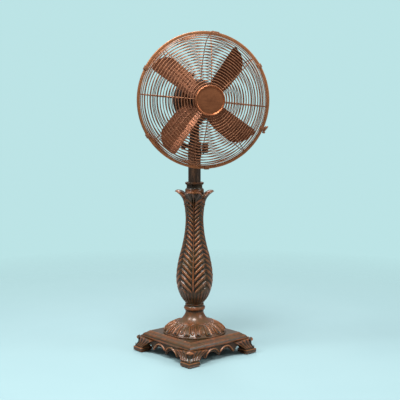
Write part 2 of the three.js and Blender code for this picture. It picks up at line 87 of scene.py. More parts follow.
def turn(angle):
    return Matrix.Rotation(angle, 4, "Z")


TILT_AXIS = JOINTS["tilt"]["axis"]
STAND_TURN = math.atan2(TILT_AXIS[1], TILT_AXIS[0])
STAND = turn(STAND_TURN)                     # the stand's front corner points along -Y before this
HEAD_HEIGHT = JOINTS["blade_spin"]["pos_m"][2]
# In the head's own axes x is to the viewer's right, y is up and z is ahead of the pole.
HEAD = Matrix.Translation((0, 0, HEAD_HEIGHT)) @ Matrix.Rotation(math.pi / 2, 4, "X")
TILT_HEIGHT = JOINTS["tilt"]["pos_m"][2]
RIM_AHEAD = -(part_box("rim_ring")[0].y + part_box("rim_ring")[1].y) / 2
RIM_RADIUS = radius_of("rim_ring")
EDGE_WIRE = 0.0016
EDGE_RADIUS = radius_of("front_guard") - EDGE_WIRE
MOTOR_RADIUS = radius_of("motor_front_cover")
BADGE_RADIUS = radius_of("badge")
BADGE_FRONT = -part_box("badge")[0].y
POLE_RADIUS = 0.0212
NECK_RADIUS = 0.017
COLUMN_BORE = 0.0225


# ---------------------------------------------------------------- shapes as points and faces


def grid_faces(rows, columns, close_rows=False, close_columns=True):
    """Quads of a grid of points; columns run counter-clockwise and rows run up, so they face out."""
    i, j = np.meshgrid(
        np.arange(rows if close_rows else rows - 1),
        np.arange(columns if close_columns else columns - 1), indexing="ij")
    up, across = (i + 1) % rows, (j + 1) % columns
    corners = [i * columns + j, i * columns + across, up * columns + across, up * columns + j]
    return np.stack(corners, axis=-1).reshape(-1, 4).tolist()


def end_faces(rows, columns):
    """The first and last row of a grid, each as one face."""
    return [list(range(columns))[::-1], [(rows - 1) * columns + k for k in range(columns)]]


def shape(points, faces, relief_and_painted_light=0.6):
    """A piece of surface: points, faces and a tone for each point, 0 to 1, that follows how high it stands
    in the carving and also holds painted highlights and painted shade.
    """
    points = np.asarray(points, float).reshape(-1, 3)
    relief_and_painted_light = np.broadcast_to(np.asarray(relief_and_painted_light, float).reshape(-1), len(points)).copy()
    return points, faces, relief_and_painted_light


def join(shapes):
    """Several shapes as one."""
    points, faces, relief_and_painted_light, start = [], [], [], 0
    for some_points, some_faces, some_relief in shapes:
        points.append(some_points)
        relief_and_painted_light.append(some_relief)
        faces += [[corner + start for corner in face] for face in some_faces]
        start += len(some_points)
    return np.concatenate(points), faces, np.concatenate(relief_and_painted_light)


def moved(some_shape, matrix):
    points, faces, relief_and_painted_light = some_shape
    rotation = np.array(matrix.to_3x3())
    return points @ rotation.T + np.array(matrix.translation), faces, relief_and_painted_light


def outline(rows, radius=0.0, level=0.0):
    """Rows [radius, height] or [radius, height, relief], measured from a radius and a level."""
    rows = np.array(rows, float)
    rows[:, :2] += radius, level
    return rows


def resampled(profile, step):
    """An outline with no stretch longer than step."""
    rows = [profile[0]]
    for before, after in zip(profile[:-1], profile[1:]):
        count = max(1, math.ceil(np.hypot(*(after - before)[:2]) / step))
        rows += [before + (after - before) * k / count for k in range(1, count + 1)]
    return np.array(rows)


def smooth(profile, steps=6):
    """A Catmull-Rom curve through rows of any width."""
    rows = np.asarray(profile, float)
    rows = np.vstack([2 * rows[0] - rows[1], rows, 2 * rows[-1] - rows[-2]])
    curve = []
    for a, b, c, d in zip(rows[:-3], rows[1:-2], rows[2:-1], rows[3:]):
        for t in np.arange(steps) / steps:
            curve.append(0.5 * (2 * b + (c - a) * t + (2 * a - 5 * b + 4 * c - d) * t ** 2
                                + (3 * b - a - 3 * c + d) * t ** 3))
    return np.array(curve + [rows[-2]])


def filleted(profile, radius, closed=True, steps=4):
    """An outline with each corner rounded by an arc-like curve."""
    profile = np.asarray(profile, float)
    count = len(profile)
    rounded = []
    for i, corner in enumerate(profile):
        if not closed and i in (0, count - 1):
            rounded.append(corner)
            continue
        before, after = profile[i - 1] - corner, profile[(i + 1) % count] - corner
        lengths = [np.hypot(*side[:2]) for side in (before, after)]
        reach = min(radius, *(length * 0.48 for length in lengths))
        start, end = (corner + side * reach / max(length, 1e-9)
                      for side, length in zip((before, after), lengths))
        for t in np.linspace(0, 1, steps + 1):
            rounded.append((1 - t) ** 2 * start + 2 * t * (1 - t) * corner + t ** 2 * end)
    return np.array(rounded)


def around(sides):
    """Angles of evenly spaced columns."""
    return np.arange(sides) / sides * 2 * np.pi


def polar(radius, angles, height):
    """Points from cylinder coordinates of any matching shapes."""
    return np.stack(np.broadcast_arrays(radius * np.cos(angles), radius * np.sin(angles), height), axis=-1)


def turned(profile, sides=96, closed=False, relief_and_painted_light=0.6):
    """A solid of revolution about Z from rows [radius, height] or [radius, height, relief]."""
    profile = np.asarray(profile, float)
    points = polar(profile[:, None, 0], around(sides), profile[:, None, 1])
    heights = profile[:, 2:3] if profile.shape[1] > 2 else relief_and_painted_light
    heights = np.broadcast_to(heights, (len(profile), sides))
    return shape(points, grid_faces(len(profile), sides, close_rows=closed), heights)


def tube(path, radius, sides=8, closed=False):
    """A round wire along a path of points, with flat ends where it is open."""
    path = np.asarray(path, float)
    if closed:
        along = np.roll(path, -1, axis=0) - np.roll(path, 1, axis=0)
    else:
        along = np.gradient(path, axis=0)
    along /= np.linalg.norm(along, axis=1)[:, None]
    helper = np.array([0, 0, 1.0]) if abs(along[0][2]) < 0.9 else np.array([1.0, 0, 0])
    normal = np.cross(along, helper)
    normal /= np.linalg.norm(normal, axis=1)[:, None]
    binormal = np.cross(along, normal)
    angles = around(sides)[None, :, None]
    points = path[:, None] + radius * (np.cos(angles) * normal[:, None] + np.sin(angles) * binormal[:, None])
    faces = grid_faces(len(path), sides, close_rows=closed)
    if not closed:
        faces += end_faces(len(path), sides)
    return shape(points, faces)


def prism(drawn, bottom, top, edge=0.0008, steps=3):
    """An outline in the plane, counter-clockwise, drawn up Z with rounded rims and flat ends."""
    drawn = np.asarray(drawn, float)[:, :2]
    ahead, behind = np.roll(drawn, -1, axis=0) - drawn, drawn - np.roll(drawn, 1, axis=0)
    along = ahead / np.linalg.norm(ahead, axis=1)[:, None] + behind / np.linalg.norm(behind, axis=1)[:, None]
    along /= np.maximum(np.linalg.norm(along, axis=1)[:, None], 1e-9)
    inward = np.stack([-along[:, 1], along[:, 0]], axis=-1)
    turns = np.linspace(0, np.pi / 2, steps + 1)
    rims = [(edge * (1 - math.sin(t)), bottom + edge * (1 - math.cos(t))) for t in turns]
    rims += [(edge * (1 - math.cos(t)), top - edge * (1 - math.sin(t))) for t in turns]
    points = [np.column_stack([drawn + inward * inset, np.full(len(drawn), level)]) for inset, level in rims]
    return shape(points, grid_faces(len(rims), len(drawn)) + end_faces(len(rims), len(drawn)))


def lobed(radius, depth=0.0, lobes=0, sides=48, centre=(0, 0)):
    """A circle, or a wavy one with lobes of some depth."""
    angles = around(sides)
    reach = radius + depth * np.cos(lobes * angles)
    return np.column_stack([centre[0] + reach * np.cos(angles), centre[1] + reach * np.sin(angles)])


def post(radius, bottom, top, edge=0.0005, sides=48, centre=(0, 0)):
    """A round rod with rounded rims."""
    return prism(lobed(radius, sides=sides, centre=centre), bottom, top, edge)


def box_outline(width, height, corner, centre=(0, 0)):
    x, y = width / 2, height / 2
    return filleted(np.array([[-x, -y], [x, -y], [x, y], [-x, y]]) + np.array(centre), corner)


def step_up(low_edge, high_edge, value):
    """Smooth rise from 0 to 1 between two edges."""
    t = np.clip((value - low_edge) / (high_edge - low_edge), 0, 1)
    return t * t * (3 - 2 * t)


def bump(offset, width):
    """A bell of height 1 about offset 0."""
    return np.exp(-(offset / width) ** 2)


# ---------------------------------------------------------------- material building blocks


def node(tree, kind, values=None, **settings):
    """Adds a shader node, sets it up and links any socket found among its values."""
    made = tree.nodes.new("ShaderNode" + kind)
    for key, value in settings.items():
        setattr(made, key, value)
    for key, value in (values or {}).items():
        put(tree, made.inputs[key], value)
    return made


def put(tree, socket, value):
    """Links a socket to another one, or sets its value."""
    if isinstance(value, bpy.types.NodeSocket):
        tree.links.new(value, socket)
    else:
        socket.default_value = value


def maths(tree, operation, first, second, clamp=False):
    return node(tree, "Math", {0: first, 1: second}, operation=operation, use_clamp=clamp).outputs[0]


def scaled(tree, value, gain, start):
    """gain * value + start."""
    return node(tree, "Math", {0: value, 1: gain, 2: start}, operation="MULTIPLY_ADD").outputs[0]


def ramp(tree, factor, stops):
    """A colour ramp from pairs of position and (red, green, blue) or one grey value."""
    made = node(tree, "ValToRGB", {"Fac": factor})
    elements = made.color_ramp.elements
    while len(elements) < len(stops):
        elements.new(0.5)
    for element, (position, colour) in zip(elements, stops):
        element.position = position
        colour = colour if isinstance(colour, tuple) else (colour,) * 3
        element.color = (*colour, 1)
    return made.outputs["Color"]


def noise(tree, scale, detail=4, stretch=(1, 1, 1), roughness=0.5):
    """Seeded by place only: noise in the object's own metres."""
    coordinates = node(tree, "TexCoord").outputs["Object"]
    mapped = node(tree, "Mapping", {"Vector": coordinates, "Scale": stretch}).outputs["Vector"]
    return node(tree, "TexNoise", {
        "Vector": mapped, "Scale": scale, "Detail": detail, "Roughness": roughness}).outputs["Fac"]


def blend_colours(tree, factor, first, second):
    first, second = (value if isinstance(value, bpy.types.NodeSocket) else (*value, 1)
                     for value in (first, second))
    return node(tree, "Mix", {"Factor": factor, 6: first, 7: second}, data_type="RGBA").outputs[2]


def start_material(name, coat=0.0, coat_roughness=0.03):
    material = bpy.data.materials.new(name)
    material.use_nodes = True
    shader = material.node_tree.nodes["Principled BSDF"]
    shader.inputs["Coat Weight"].default_value = coat
    shader.inputs["Coat Roughness"].default_value = coat_roughness
    return material, material.node_tree, shader


def finish_surface(tree, shader, colour, rough, metal, bump_height, strength, depth):
    bumps = node(tree, "Bump", {"Height": bump_height, "Strength": strength, "Distance": depth})
    for key, value in (("Base Color", colour), ("Roughness", rough), ("Metallic", metal),
                       ("Normal", bumps.outputs["Normal"])):
        put(tree, shader.inputs[key], value)


# ---------------------------------------------------------------- materials


def carved_bronze():
    """Antique bronze paint on carved resin: dark in the recesses, rubbed to copper on high places; the
    palest top of its ramp is a painted pinkish-white highlight.
    """
    material, tree, shader = start_material("carved_bronze", 0.55, 0.20)
    shader.inputs["Specular IOR Level"].default_value = 0.3
    relief_and_painted_light = node(tree, "Attribute", attribute_name="relief_and_painted_light").outputs["Fac"]
    wear = scaled(tree, noise(tree, 70, 5, roughness=0.6), 0.56, -0.28)
    height = maths(tree, "ADD", relief_and_painted_light, wear, clamp=True)
    # The carving tone picks the colour: dark patina low down, copper higher up, and at the top a pale
    # pinkish painted highlight.
    colour = ramp(tree, height, [
        (0.0, (0.006, 0.005, 0.002)), (0.26, (0.022, 0.015, 0.006)), (0.46, (0.100, 0.038, 0.011)),
        (0.68, (0.270, 0.080, 0.020)), (0.86, (0.410, 0.160, 0.060)), (1.0, (0.540, 0.330, 0.200))])
    olive = ramp(tree, noise(tree, 30, 3), [(0.42, 0.0), (0.66, 0.60)])
    colour = blend_colours(tree, olive, colour, (0.070, 0.048, 0.015))
    dust = ramp(tree, noise(tree, 17, 3, stretch=(1.3, 1.1, 0.8)), [(0.56, 0.0), (0.76, 0.18)])
    colour = blend_colours(tree, dust, colour, (0.150, 0.110, 0.090))
    specks = ramp(tree, noise(tree, 700, 2), [(0.30, 0.55), (0.42, 0.0)])
    colour = blend_colours(tree, specks, colour, (0.030, 0.018, 0.013))
    rough = scaled(tree, height, -0.22, 0.52)
    metal = maths(tree, "MULTIPLY", height, 0.35)
    finish_surface(tree, shader, colour, rough, metal, noise(tree, 420, 4), 0.35, 0.0004)
    return material


def antique_copper(name, bright, dark, scale, stretch=(1, 1, 1), roughness=0.38, metal=0.85):
    """Copper-plated metal with brown patina in soft patches and fine brushing."""
    material, tree, shader = start_material(name)
    patches = noise(tree, scale, 5, roughness=0.65)
    brushed = noise(tree, 520, 3, stretch=stretch)
    mixed = scaled(tree, patches, 0.62, maths(tree, "MULTIPLY", brushed, 0.38))
    between = tuple((a + b) / 2 for a, b in zip(bright, dark))
    colour = ramp(tree, mixed, [(0.32, dark), (0.5, between), (0.68, bright)])
    specks = ramp(tree, noise(tree, 900, 2), [(0.28, 0.6), (0.38, 0.0)])
    colour = blend_colours(tree, specks, colour, tuple(0.35 * part for part in dark))
    rough = scaled(tree, mixed, -0.22, roughness + 0.11)
    finish_surface(tree, shader, colour, rough, metal, brushed, 0.22, 0.0002)
    return material


def dark_bronze(name, tone, roughness=0.46, coat=0.25):
    """Oil-rubbed bronze paint: nearly black brown with warm rubbed streaks."""
    material, tree, shader = start_material(name, coat, 0.25)
    rubbed = noise(tree, 60, 5, stretch=(1, 1, 0.25), roughness=0.6)
    colour = ramp(tree, rubbed, [(position, tuple(tone * part for part in parts)) for position, parts in (
        (0.35, (0.013, 0.009, 0.007)), (0.52, (0.036, 0.023, 0.015)), (0.72, (0.110, 0.060, 0.034)))])
    rough = scaled(tree, rubbed, -0.2, roughness)
    finish_surface(tree, shader, colour, rough, 0.5, noise(tree, 600, 3), 0.2, 0.0002)
    return material


def grained(name, cloud, darkest, palest, rough, metal, strength, depth, grain=None):
    """Plain metal, plastic or rubber: a cloud tints it, a grain sets its roughness and its bumps."""
    material, tree, shader = start_material(name)
    tint = noise(tree, *cloud)
    texture = noise(tree, *grain) if grain else tint
    colour = ramp(tree, tint, [darkest, palest])
    finish_surface(tree, shader, colour, scaled(tree, texture, *rough), metal, texture, strength, depth)
    return material


def moulded(name, darkest, palest, roughness, grain_scale, strength):
    """Moulded plastic or rubber with a fine grain."""
    return grained(name, (45, 4), (0.35, darkest), (0.7, palest), (0.2, roughness - 0.1), 0.0, strength,
                   0.0003, grain=(grain_scale, 3, (1, 1, 1), 0.7))


MATERIALS = {
    "carved_resin": carved_bronze(),
    "copper_wire": antique_copper("copper_wire", (0.500, 0.235, 0.125), (0.160, 0.073, 0.040), 55,
                                  roughness=0.54),
    "rim_copper": antique_copper("rim_copper", (0.640, 0.270, 0.115), (0.260, 0.105, 0.045), 40,
                                 roughness=0.46),
    "copper_sheet": antique_copper("copper_sheet", (0.300, 0.110, 0.050), (0.105, 0.040, 0.021), 30,
                                   stretch=(1, 1, 0.2), roughness=0.30, metal=0.65),
    "badge": antique_copper("badge_copper", (0.620, 0.240, 0.105), (0.270, 0.100, 0.046), 34,
                            stretch=(0.08, 1, 1), roughness=0.33),
    "dark_bronze": dark_bronze("dark_bronze", 1.0),
    # cast_bronze is dark_bronze at 0.30 of its colour and without coat: painted shade for the motor bells,
    # which sit in shadow behind the blades and guards.
    "cast_bronze": dark_bronze("cast_bronze", 0.30, 0.62, 0.0),
    # warm_bronze is dark_bronze at 2.3 times its colour: painted light for the pole, which stands lit below
    # the head while the parts under the head stay dark.
    "warm_bronze": dark_bronze("warm_bronze", 2.3),
    "bare_steel": grained("turned_steel", (300, 3, (1, 1, 6)), (0.3, (0.30, 0.29, 0.27)),
                          (0.7, (0.62, 0.61, 0.58)), (0.25, 0.22), 1.0, 0.2, 0.0002),
    "ballast_iron": grained("cast_iron", (350, 6, (1, 1, 1), 0.7), (0.3, (0.018, 0.018, 0.019)),
                            (0.7, (0.075, 0.072, 0.068)), (0.0, 0.72), 0.5, 0.7, 0.0008),
    "dark_plastic": moulded("dark_plastic", (0.012, 0.008, 0.006), (0.032, 0.020, 0.014), 0.42, 700, 0.25),
    "black_rubber": moulded("black_rubber", (0.008, 0.008, 0.008), (0.022, 0.021, 0.020), 0.8, 900, 0.4),
}


# ---------------------------------------------------------------- making pieces


def placed(name, data):
    """A new object in the scene with a mesh, a light or a camera."""
    made = bpy.data.objects.new(name, data)
    bpy.context.collection.objects.link(made)
    return made


def piece_from(name, some_shape, place, nodes, look=None, sharp=38, weld=False):
    """Makes a visible piece that stands for CAD nodes and moves with their body."""
    points, faces, relief_and_painted_light = moved(some_shape, place)
    mesh = bpy.data.meshes.new(name)
    mesh.from_pydata(points.tolist(), [], faces)
    mesh.attributes.new("relief_and_painted_light", "FLOAT", "POINT").data.foreach_set("value", relief_and_painted_light)
    mesh.shade_smooth()
    mesh.set_sharp_from_angle(angle=math.radians(sharp))
    mesh.validate()
    made = placed(name, mesh)
    if weld:
        made.modifiers.new("weld", "WELD").merge_threshold = 1e-6
    slot_name = SLOT_OF[nodes[0]]
    mesh.materials.append(MATERIALS[look or slot_name])
    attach(made, BODY_OF[nodes[0]])
    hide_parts(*nodes)
    return made


def turned_piece(name, cad_node, rows, place, fillet, sides, closed=True, look=None):
    """A turned piece; an open outline starts and ends on the axis, where its points are merged."""
    made = turned(filleted(rows, fillet, closed), sides, closed)
    piece_from(name, made, place, [cad_node], look, weld=not closed)


def wall(inner, outer, bottom, top):
    """The outline of a plain ring or, from inner 0, of a disc."""
    return [[inner, bottom], [outer, bottom], [outer, top], [inner, top]]


def four_pieces(kind, some_shape, names, start=0.0, weld=False):
    """Four carved pieces, a quarter turn apart round the stand."""
    for quarter, name in enumerate(names):
        place = STAND @ turn((quarter + start) * math.pi / 2)
        piece_from(f"carved_{kind}_{name}", some_shape, place, [f"{kind}_{name}"], weld=weld)


# ---------------------------------------------------------------- base

CORNERS = ("front", "right", "back", "left")


def squared(profile, steps):
    """The four-sided, corner-forward counterpart of turned(): radius runs to the corners."""
    corners = np.array([[0, -1], [1, 0], [0, 1], [-1, 0], [0, -1]], float)
    ring = np.concatenate([corners[k] + (corners[k + 1] - corners[k]) * np.arange(steps)[:, None] / steps
                           for k in range(4)])
    points = np.empty((len(profile), len(ring), 3))
    points[..., :2] = profile[:, None, :1] * ring
    points[..., 2] = profile[:, None, 1]
    relief_and_painted_light = np.broadcast_to(profile[:, 2:3], (len(profile), len(ring)))
    return shape(points, grid_faces(len(profile), len(ring)), relief_and_painted_light)


def base_plate():
    """Square plate: a raised lip round a flat panel, then a band that falls to a beaded edge."""
    reach = 0.186
    edge = outline([
        [-reach, 0, 0.2], [-0.0060, 0, 0.2], [-0.0020, 0.0015, 0.35], [0, 0.0040, 0.50], [0, 0.0075, 0.60],
        [-0.0025, 0.0092, 0.4], [-0.0035, 0.0102, 0.06], [-0.0050, 0.0122, 0.38], [-0.0085, 0.0160, 0.56],
        [-0.0130, 0.0182, 0.46], [-0.0180, 0.0200, 0.44], [-0.0200, 0.0204, 0.24], [-0.0220, 0.0220, 0.58],
        [-0.0270, 0.0240, 0.48]], reach, low("base_plate"))
    lip = outline([
        [-0.0300, 0.0008, 0.70], [-0.0330, 0.0009, 0.52], [-0.0355, 0, 0.10], [-0.0390, 0, 0.30],
        [-0.0750, 0, 0.36], [-reach, 0, 0.32]], reach, high("base_plate") - 0.001)
    profile = resampled(np.vstack([edge, lip]), 0.003)
    piece_from("plate_top", squared(profile, 60), STAND, ["base_plate"], weld=True)


def foot_block():
    """Square pad with a rounded rim and a raised field on each outer face."""
    half = 0.033
    bottom = high("glide_front") + 0.0003
    profile = outline([
        [-half, 0, 0.2], [-0.0030, 0, 0.3], [-0.0008, 0.0008, 0.5], [0, 0.0022, 0.66],
        [-0.0012, 0.0036, 0.15], [-0.0004, 0.0060, 0.45], [-0.0010, 0.0092, 0.18], [0, 0.0108, 0.85],
        [-0.0008, 0.0126, 0.9], [-0.0030, 0.0134, 0.5], [-0.0120, 0.0140, 0.1], [-half, 0.0140, 0.1]],
        half, bottom)
    return moved(squared(profile, 16), Matrix.Translation((0, half - 0.2145, 0)))


def foot_leg():
    """A concave leg whose two wings fan out along the plate's sides, fluted from the pad up."""
    bottom, top = 0.0155, 0.0505
    across = 96
    t = np.linspace(-1, 1, across)
    far = np.abs(t)
    fan = step_up(0.16, 0.22, far)
    flutes = np.abs(np.sin(np.pi * 3.5 * (far - 0.19) / 0.81)) ** 0.8 * fan
    rows, tones = [], []
    for q in np.linspace(0, 1, 30):
        extent = 0.041 + 0.036 * q ** 2.0
        thick = 0.036 - 0.018 * q
        corner = 0.2085 - 0.0105 * step_up(0.0, 0.55, q) + 0.0015 * step_up(0.7, 1.0, q)
        body = step_up(0.04, 0.20, q)
        lip = step_up(0.84, 0.95, q)
        out = (0.0030 * flutes - 0.0010 * (1 - fan)) * body * (1 - 0.5 * lip) + 0.0020 * lip
        height = bottom + (top - bottom) * q
        level = height - 0.0050 * far ** 2.5 * q ** 2 + 0.0016 * flutes * step_up(0.85, 1.0, q)
        side_a = np.append(np.clip(t, 0, 1) * extent - out * (t < 0), [extent, thick, thick])
        side_b = np.append(np.clip(-t, 0, 1) * extent - out * (t >= 0), [thick, thick, extent])
        level = np.append(level, [level[-1], height, level[0]])
        half = math.sqrt(0.5)
        rows.append(np.column_stack([(side_a - side_b) * half, (side_a + side_b) * half - corner, level]))
        tone = 0.05 + (0.56 * flutes + 0.10 * (1 - fan)) * (0.35 + 0.65 * body) + 0.20 * lip
        tones.append(np.append(tone, [0.15, 0.1, 0.15]))
    size = len(rows), across + 3
    return shape(np.array(rows), grid_faces(*size) + end_faces(*size), np.concatenate(tones))


def boss(width, height, depth, reach, level):
    """A lozenge-shaped boss that stands out of the corner, pointed at its two sides."""
    sides = 48
    points, faces, relief_and_painted_light = turned(smooth([
        [1.00, 0.0, 0.1], [0.96, 0.25, 0.3], [0.80, 0.58, 0.6], [0.50, 0.86, 0.78], [0.2, 0.98, 0.8],
        [0.0, 1.0, 0.8]], 4), sides)
    angles = np.arctan2(points[:, 1], points[:, 0])
    cos, sin = np.cos(angles), np.sin(angles)
    pointed = np.hypot(points[:, 0], points[:, 1]) / (np.abs(cos) ** 1.25 + np.abs(sin) ** 1.25) ** 0.8
    points = np.column_stack([
        pointed * cos * width / 2, -reach - points[:, 2] * depth, level + pointed * sin * height / 2])
    return points, faces + end_faces(1, sides)[:1], relief_and_painted_light


def feet():
    knob = boss(0.0340, 0.0165, 0.0105, 0.1920, 0.0475)
    toe = boss(0.0070, 0.0110, 0.0030, 0.2045, 0.0220)
    whole = join([foot_block(), foot_leg(), knob, toe])
    four_pieces("foot", whole, CORNERS, weld=True)


def apron_lower_edge(x):
    """Height of the scalloped lower edge at a distance from the middle of a side."""
    x = np.abs(x)
    edge = 0.031 - 0.010 * (np.abs(x - 0.033) / 0.025) ** 2.4
    edge = np.where(x < 0.008, 0.013 + 0.008 * (x / 0.008) ** 1.5, edge)
    edge = np.where(x > 0.058, 0.0155 + 0.006 * ((x - 0.0645) / 0.0065) ** 2, edge)
    return np.where(x > 0.071, 0.0215 + 0.0105 * np.sin((x - 0.071) / 0.014 * np.pi / 2), edge)


def scroll_line(x):
    """Height of the raised scroll over each arch, and its slope."""
    x = np.abs(x)
    reach, fall = np.where(x < 0.030, 0.027, 0.032), np.where(x < 0.030, 0.0145, 0.0215)
    offset = (x - 0.030) / reach
    return 0.0415 - fall * np.abs(offset) ** 2.2, 2.2 * fall / reach * np.abs(offset) ** 1.2


def aprons():
    """Carved aprons: a thick scroll runs over each arch, with a hollowed leaf below and veins above."""
    top = low("base_plate") - 0.0003
    face, back = 0.128, 0.119
    x = np.linspace(-0.085, 0.085, 281)
    edge = apron_lower_edge(x)
    line, slope = scroll_line(x)
    on_line = (1 - step_up(0.0620, 0.0650, np.abs(x))) * step_up(0.0015, 0.0035, np.abs(x))
    rows, tones = [], []
    for share in np.linspace(0, 1, 38) ** 0.9:
        z = edge + (top - edge) * share
        distance = (z - line) / np.sqrt(1 + slope ** 2)
        bead = bump(distance, 0.0023) * on_line
        under = (1 - step_up(-0.0030, -0.0005, distance)) * on_line
        rim = bump(z - edge - 0.0014, 0.0014)
        veins = np.abs(np.sin(x * 2 * np.pi / 0.0105 + 110 * distance * np.sign(x)))
        rise = 0.0048 * bead - 0.0030 * under + 0.0012 * rim + 0.0012 * veins * (1 - bead)
        rows.append(np.column_stack([x, -(face + rise), z]))
        # The scroll's bead is toned up to rubbed copper and a painted highlight.
        tones.append(0.14 + 0.80 * bead + 0.24 * veins * (1 - bead) + 0.14 * rim - 0.06 * under)
    for z in (np.full_like(x, top), edge):
        rows.append(np.column_stack([x, np.full_like(x, -back), z]))
        tones.append(np.full_like(x, 0.1))
    count = len(x)
    ends = [[row * count + column for row in range(len(rows))] for column in (0, count - 1)]
    faces = grid_faces(len(rows), count, close_rows=True, close_columns=False) + [ends[0], ends[1][::-1]]
    panel = shape(np.array(rows), faces, np.concatenate(tones))
    four_pieces("apron", panel, ("front_right", "back_right", "back_left", "front_left"), start=0.5)


def tongue(across, along, width, tip):
    """Fields of a carved leaf tongue: reach (1 at its edge), inside, raised edge and a pit at the tip."""
    past = np.clip((along - tip + 0.16) / 0.16, 0, None)
    reach = np.sqrt((across / width) ** 2 + past ** 2)
    inside = 1 - step_up(0.88, 1.06, reach)
    edge = bump(reach - 0.84, 0.13)
    pit = np.exp(-(across / (0.50 * width)) ** 2 - ((along - tip + 0.085) / 0.045) ** 2)
    return reach, inside, edge, pit


def dome_leaves(radius, angles):
    """Height and tone of the dome's carving: leaf tongues, smaller ones behind and a wavy border. The tone
    paints highlights on the raised edges and the border, and painted shade in the tip pits, just outside
    each tongue and beside the border.
    """
    petals, border_radius, tip_radius = 16, 0.0630, 0.1060
    along = (radius - border_radius) / (tip_radius - border_radius)
    sway = 0.020 * np.sin(angles * 5 + 0.6) * step_up(0.0, 0.9, along)         # hand-carved unevenness
    across = ((angles + sway) * petals / (2 * np.pi)) % 1.0 * 2 - 1
    reach, inside, edge, pit = tongue(across, along, 0.40 + 0.14 * along, 0.99)
    _, back_inside, back_edge, back_pit = tongue(1 - np.abs(across), along, 0.30 + 0.12 * along, 0.86)
    swell = 0.0012 + 0.0030 * step_up(0.1, 0.95, along)
    height = inside * swell + 0.0022 * edge - 0.0030 * pit
    height = height + (1 - inside) * (0.45 * swell * back_inside + 0.0010 * back_edge)
    # Painted light in the tone: a dark band just outside each tongue's edge and the darkened tip pits are
    # painted shade, and the raised edges of the big and small tongues are painted highlights.
    tone = 0.46 - 0.44 * bump(reach - 1.10, 0.09) * (along < 1.0)
    tone = tone + (1 - inside) * (0.36 * back_edge - 0.40 * back_pit)
    tone = tone * (1 - inside) + inside * 0.42 + 0.52 * edge - 0.75 * pit
    leafy = step_up(-0.04, 0.10, along)
    past_border = radius - 0.0605 - 0.0022 * np.cos(across * np.pi)
    border, hollow = bump(past_border, 0.0012), bump(past_border - 0.0026, 0.0013)
    # The border bead gets a painted highlight, and hollow is a painted dark line beside it where the surface
    # is not cut.
    tone = leafy * tone + (1 - leafy) * 0.50 + 0.25 * border - 0.30 * hollow
    return height * leafy + 0.0009 * border, np.clip(tone, 0, 1)


def dome():
    """Round dome ringed by sixteen leaf tongues that end in curled, pitted tips over a plain disc."""
    sides, collar = 640, 0.0310
    bottom, top, floor_level = low("base_dome"), 0.1450, low("guide_tube") - 0.0003
    outside = smooth([
        [0.1080, bottom + 0.0008], [0.1080, bottom + 0.0030], [0.1066, bottom + 0.0048],
        [0.1036, bottom + 0.0066], [0.1000, bottom + 0.0110], [0.0950, 0.0875], [0.0880, 0.0940],
        [0.0795, 0.0995], [0.0705, 0.1042], [0.0620, 0.1072], [0.0555, 0.1102], [0.0490, 0.1148],
        [0.0430, 0.1200], [0.0380, 0.1260], [0.0340, 0.1330], [0.0316, 0.1400], [collar, top]], 12)
    slope = np.gradient(outside, axis=0)
    slope /= np.linalg.norm(slope, axis=1)[:, None]
    angles = around(sides)
    radius, level = outside[:, :1], outside[:, 1:]
    height, tone = dome_leaves(radius, angles)
    points = polar(radius + slope[:, 1:] * height, angles, level - slope[:, :1] * height)
    carved = shape(points, grid_faces(len(outside), sides), tone)
    inside = turned([[COLUMN_BORE, top], [COLUMN_BORE, floor_level], [0.006, floor_level], [0.006, bottom],
                     [0.1070, bottom], [0.1080, bottom + 0.0008]], sides, relief_and_painted_light=0.2)
    top_ring = turned([[collar, top], [COLUMN_BORE, top]], sides, relief_and_painted_light=0.2)
    piece_from("petal_dome", join([carved, inside, top_ring]), STAND, ["base_dome"], weld=True)


# ---------------------------------------------------------------- column


def column_ring():
    bottom, top = low("column_ring"), high("column_ring")
    outside = smooth(outline([
        [0.0310, 0, 0.2], [0.0312, 0.0022, 0.05], [0.0335, 0.0040, 0.35], [0.0358, 0.0075, 0.50],
        [0.0366, 0.0115, 0.64], [0.0355, 0.0158, 0.55], [0.0328, 0.0190, 0.30], [0.0308, 0.0205, 0.02],
        [0.0306, 0.0220, 0.1], [0.0322, 0.0240, 0.62], [0.0318, top - bottom - 0.0008, 0.5],
        [0.0308, top - bottom, 0.2]], level=bottom), 5)
    closed = np.vstack([outside, [[COLUMN_BORE, top, 0.2], [COLUMN_BORE, bottom, 0.2]]])
    piece_from("turned_ring", turned(closed, 128, closed=True), STAND, ["column_ring"])


COLUMN_SEAT = low("lock_collar") - 0.0008
LEAF_TIP = high("column") - 0.0055
VASE = smooth([
    [0.0300, 0.1723], [0.0375, 0.183], [0.0472, 0.198], [0.0555, 0.220], [0.0611, 0.252], [0.0596, 0.288],
    [0.0520, 0.331], [0.0413, 0.372], [0.0330, 0.415], [0.0291, 0.463], [0.0320, 0.506]], 24)


def rib_count(height):
    """How many ribs lie below a height: their pitch shrinks from 23 mm low down to 14 mm at the top."""
    low_pitch, shrink = 0.0235, (0.0235 - 0.0140) / 0.30
    return -np.log(np.maximum(low_pitch - shrink * (height - 0.19), 0.006) / low_pitch) / shrink


def feather(level, across, radius):
    """Ribs rising from a midrib to its seams: phase, ridge height, a painted highlight along each crest and
    where each starts.
    """
    start = level - 1.02 * (np.pi / 4) * radius * across ** 0.62
    phase = rib_count(start) % 1.0
    ridge = step_up(0.08, 0.42, phase) * (1 - step_up(0.78, 0.98, phase)) * (0.72 + 0.28 * phase)
    # The third value paints a highlight along the upper edge of each rib.
    return phase, ridge, bump(phase - 0.72, 0.07), start


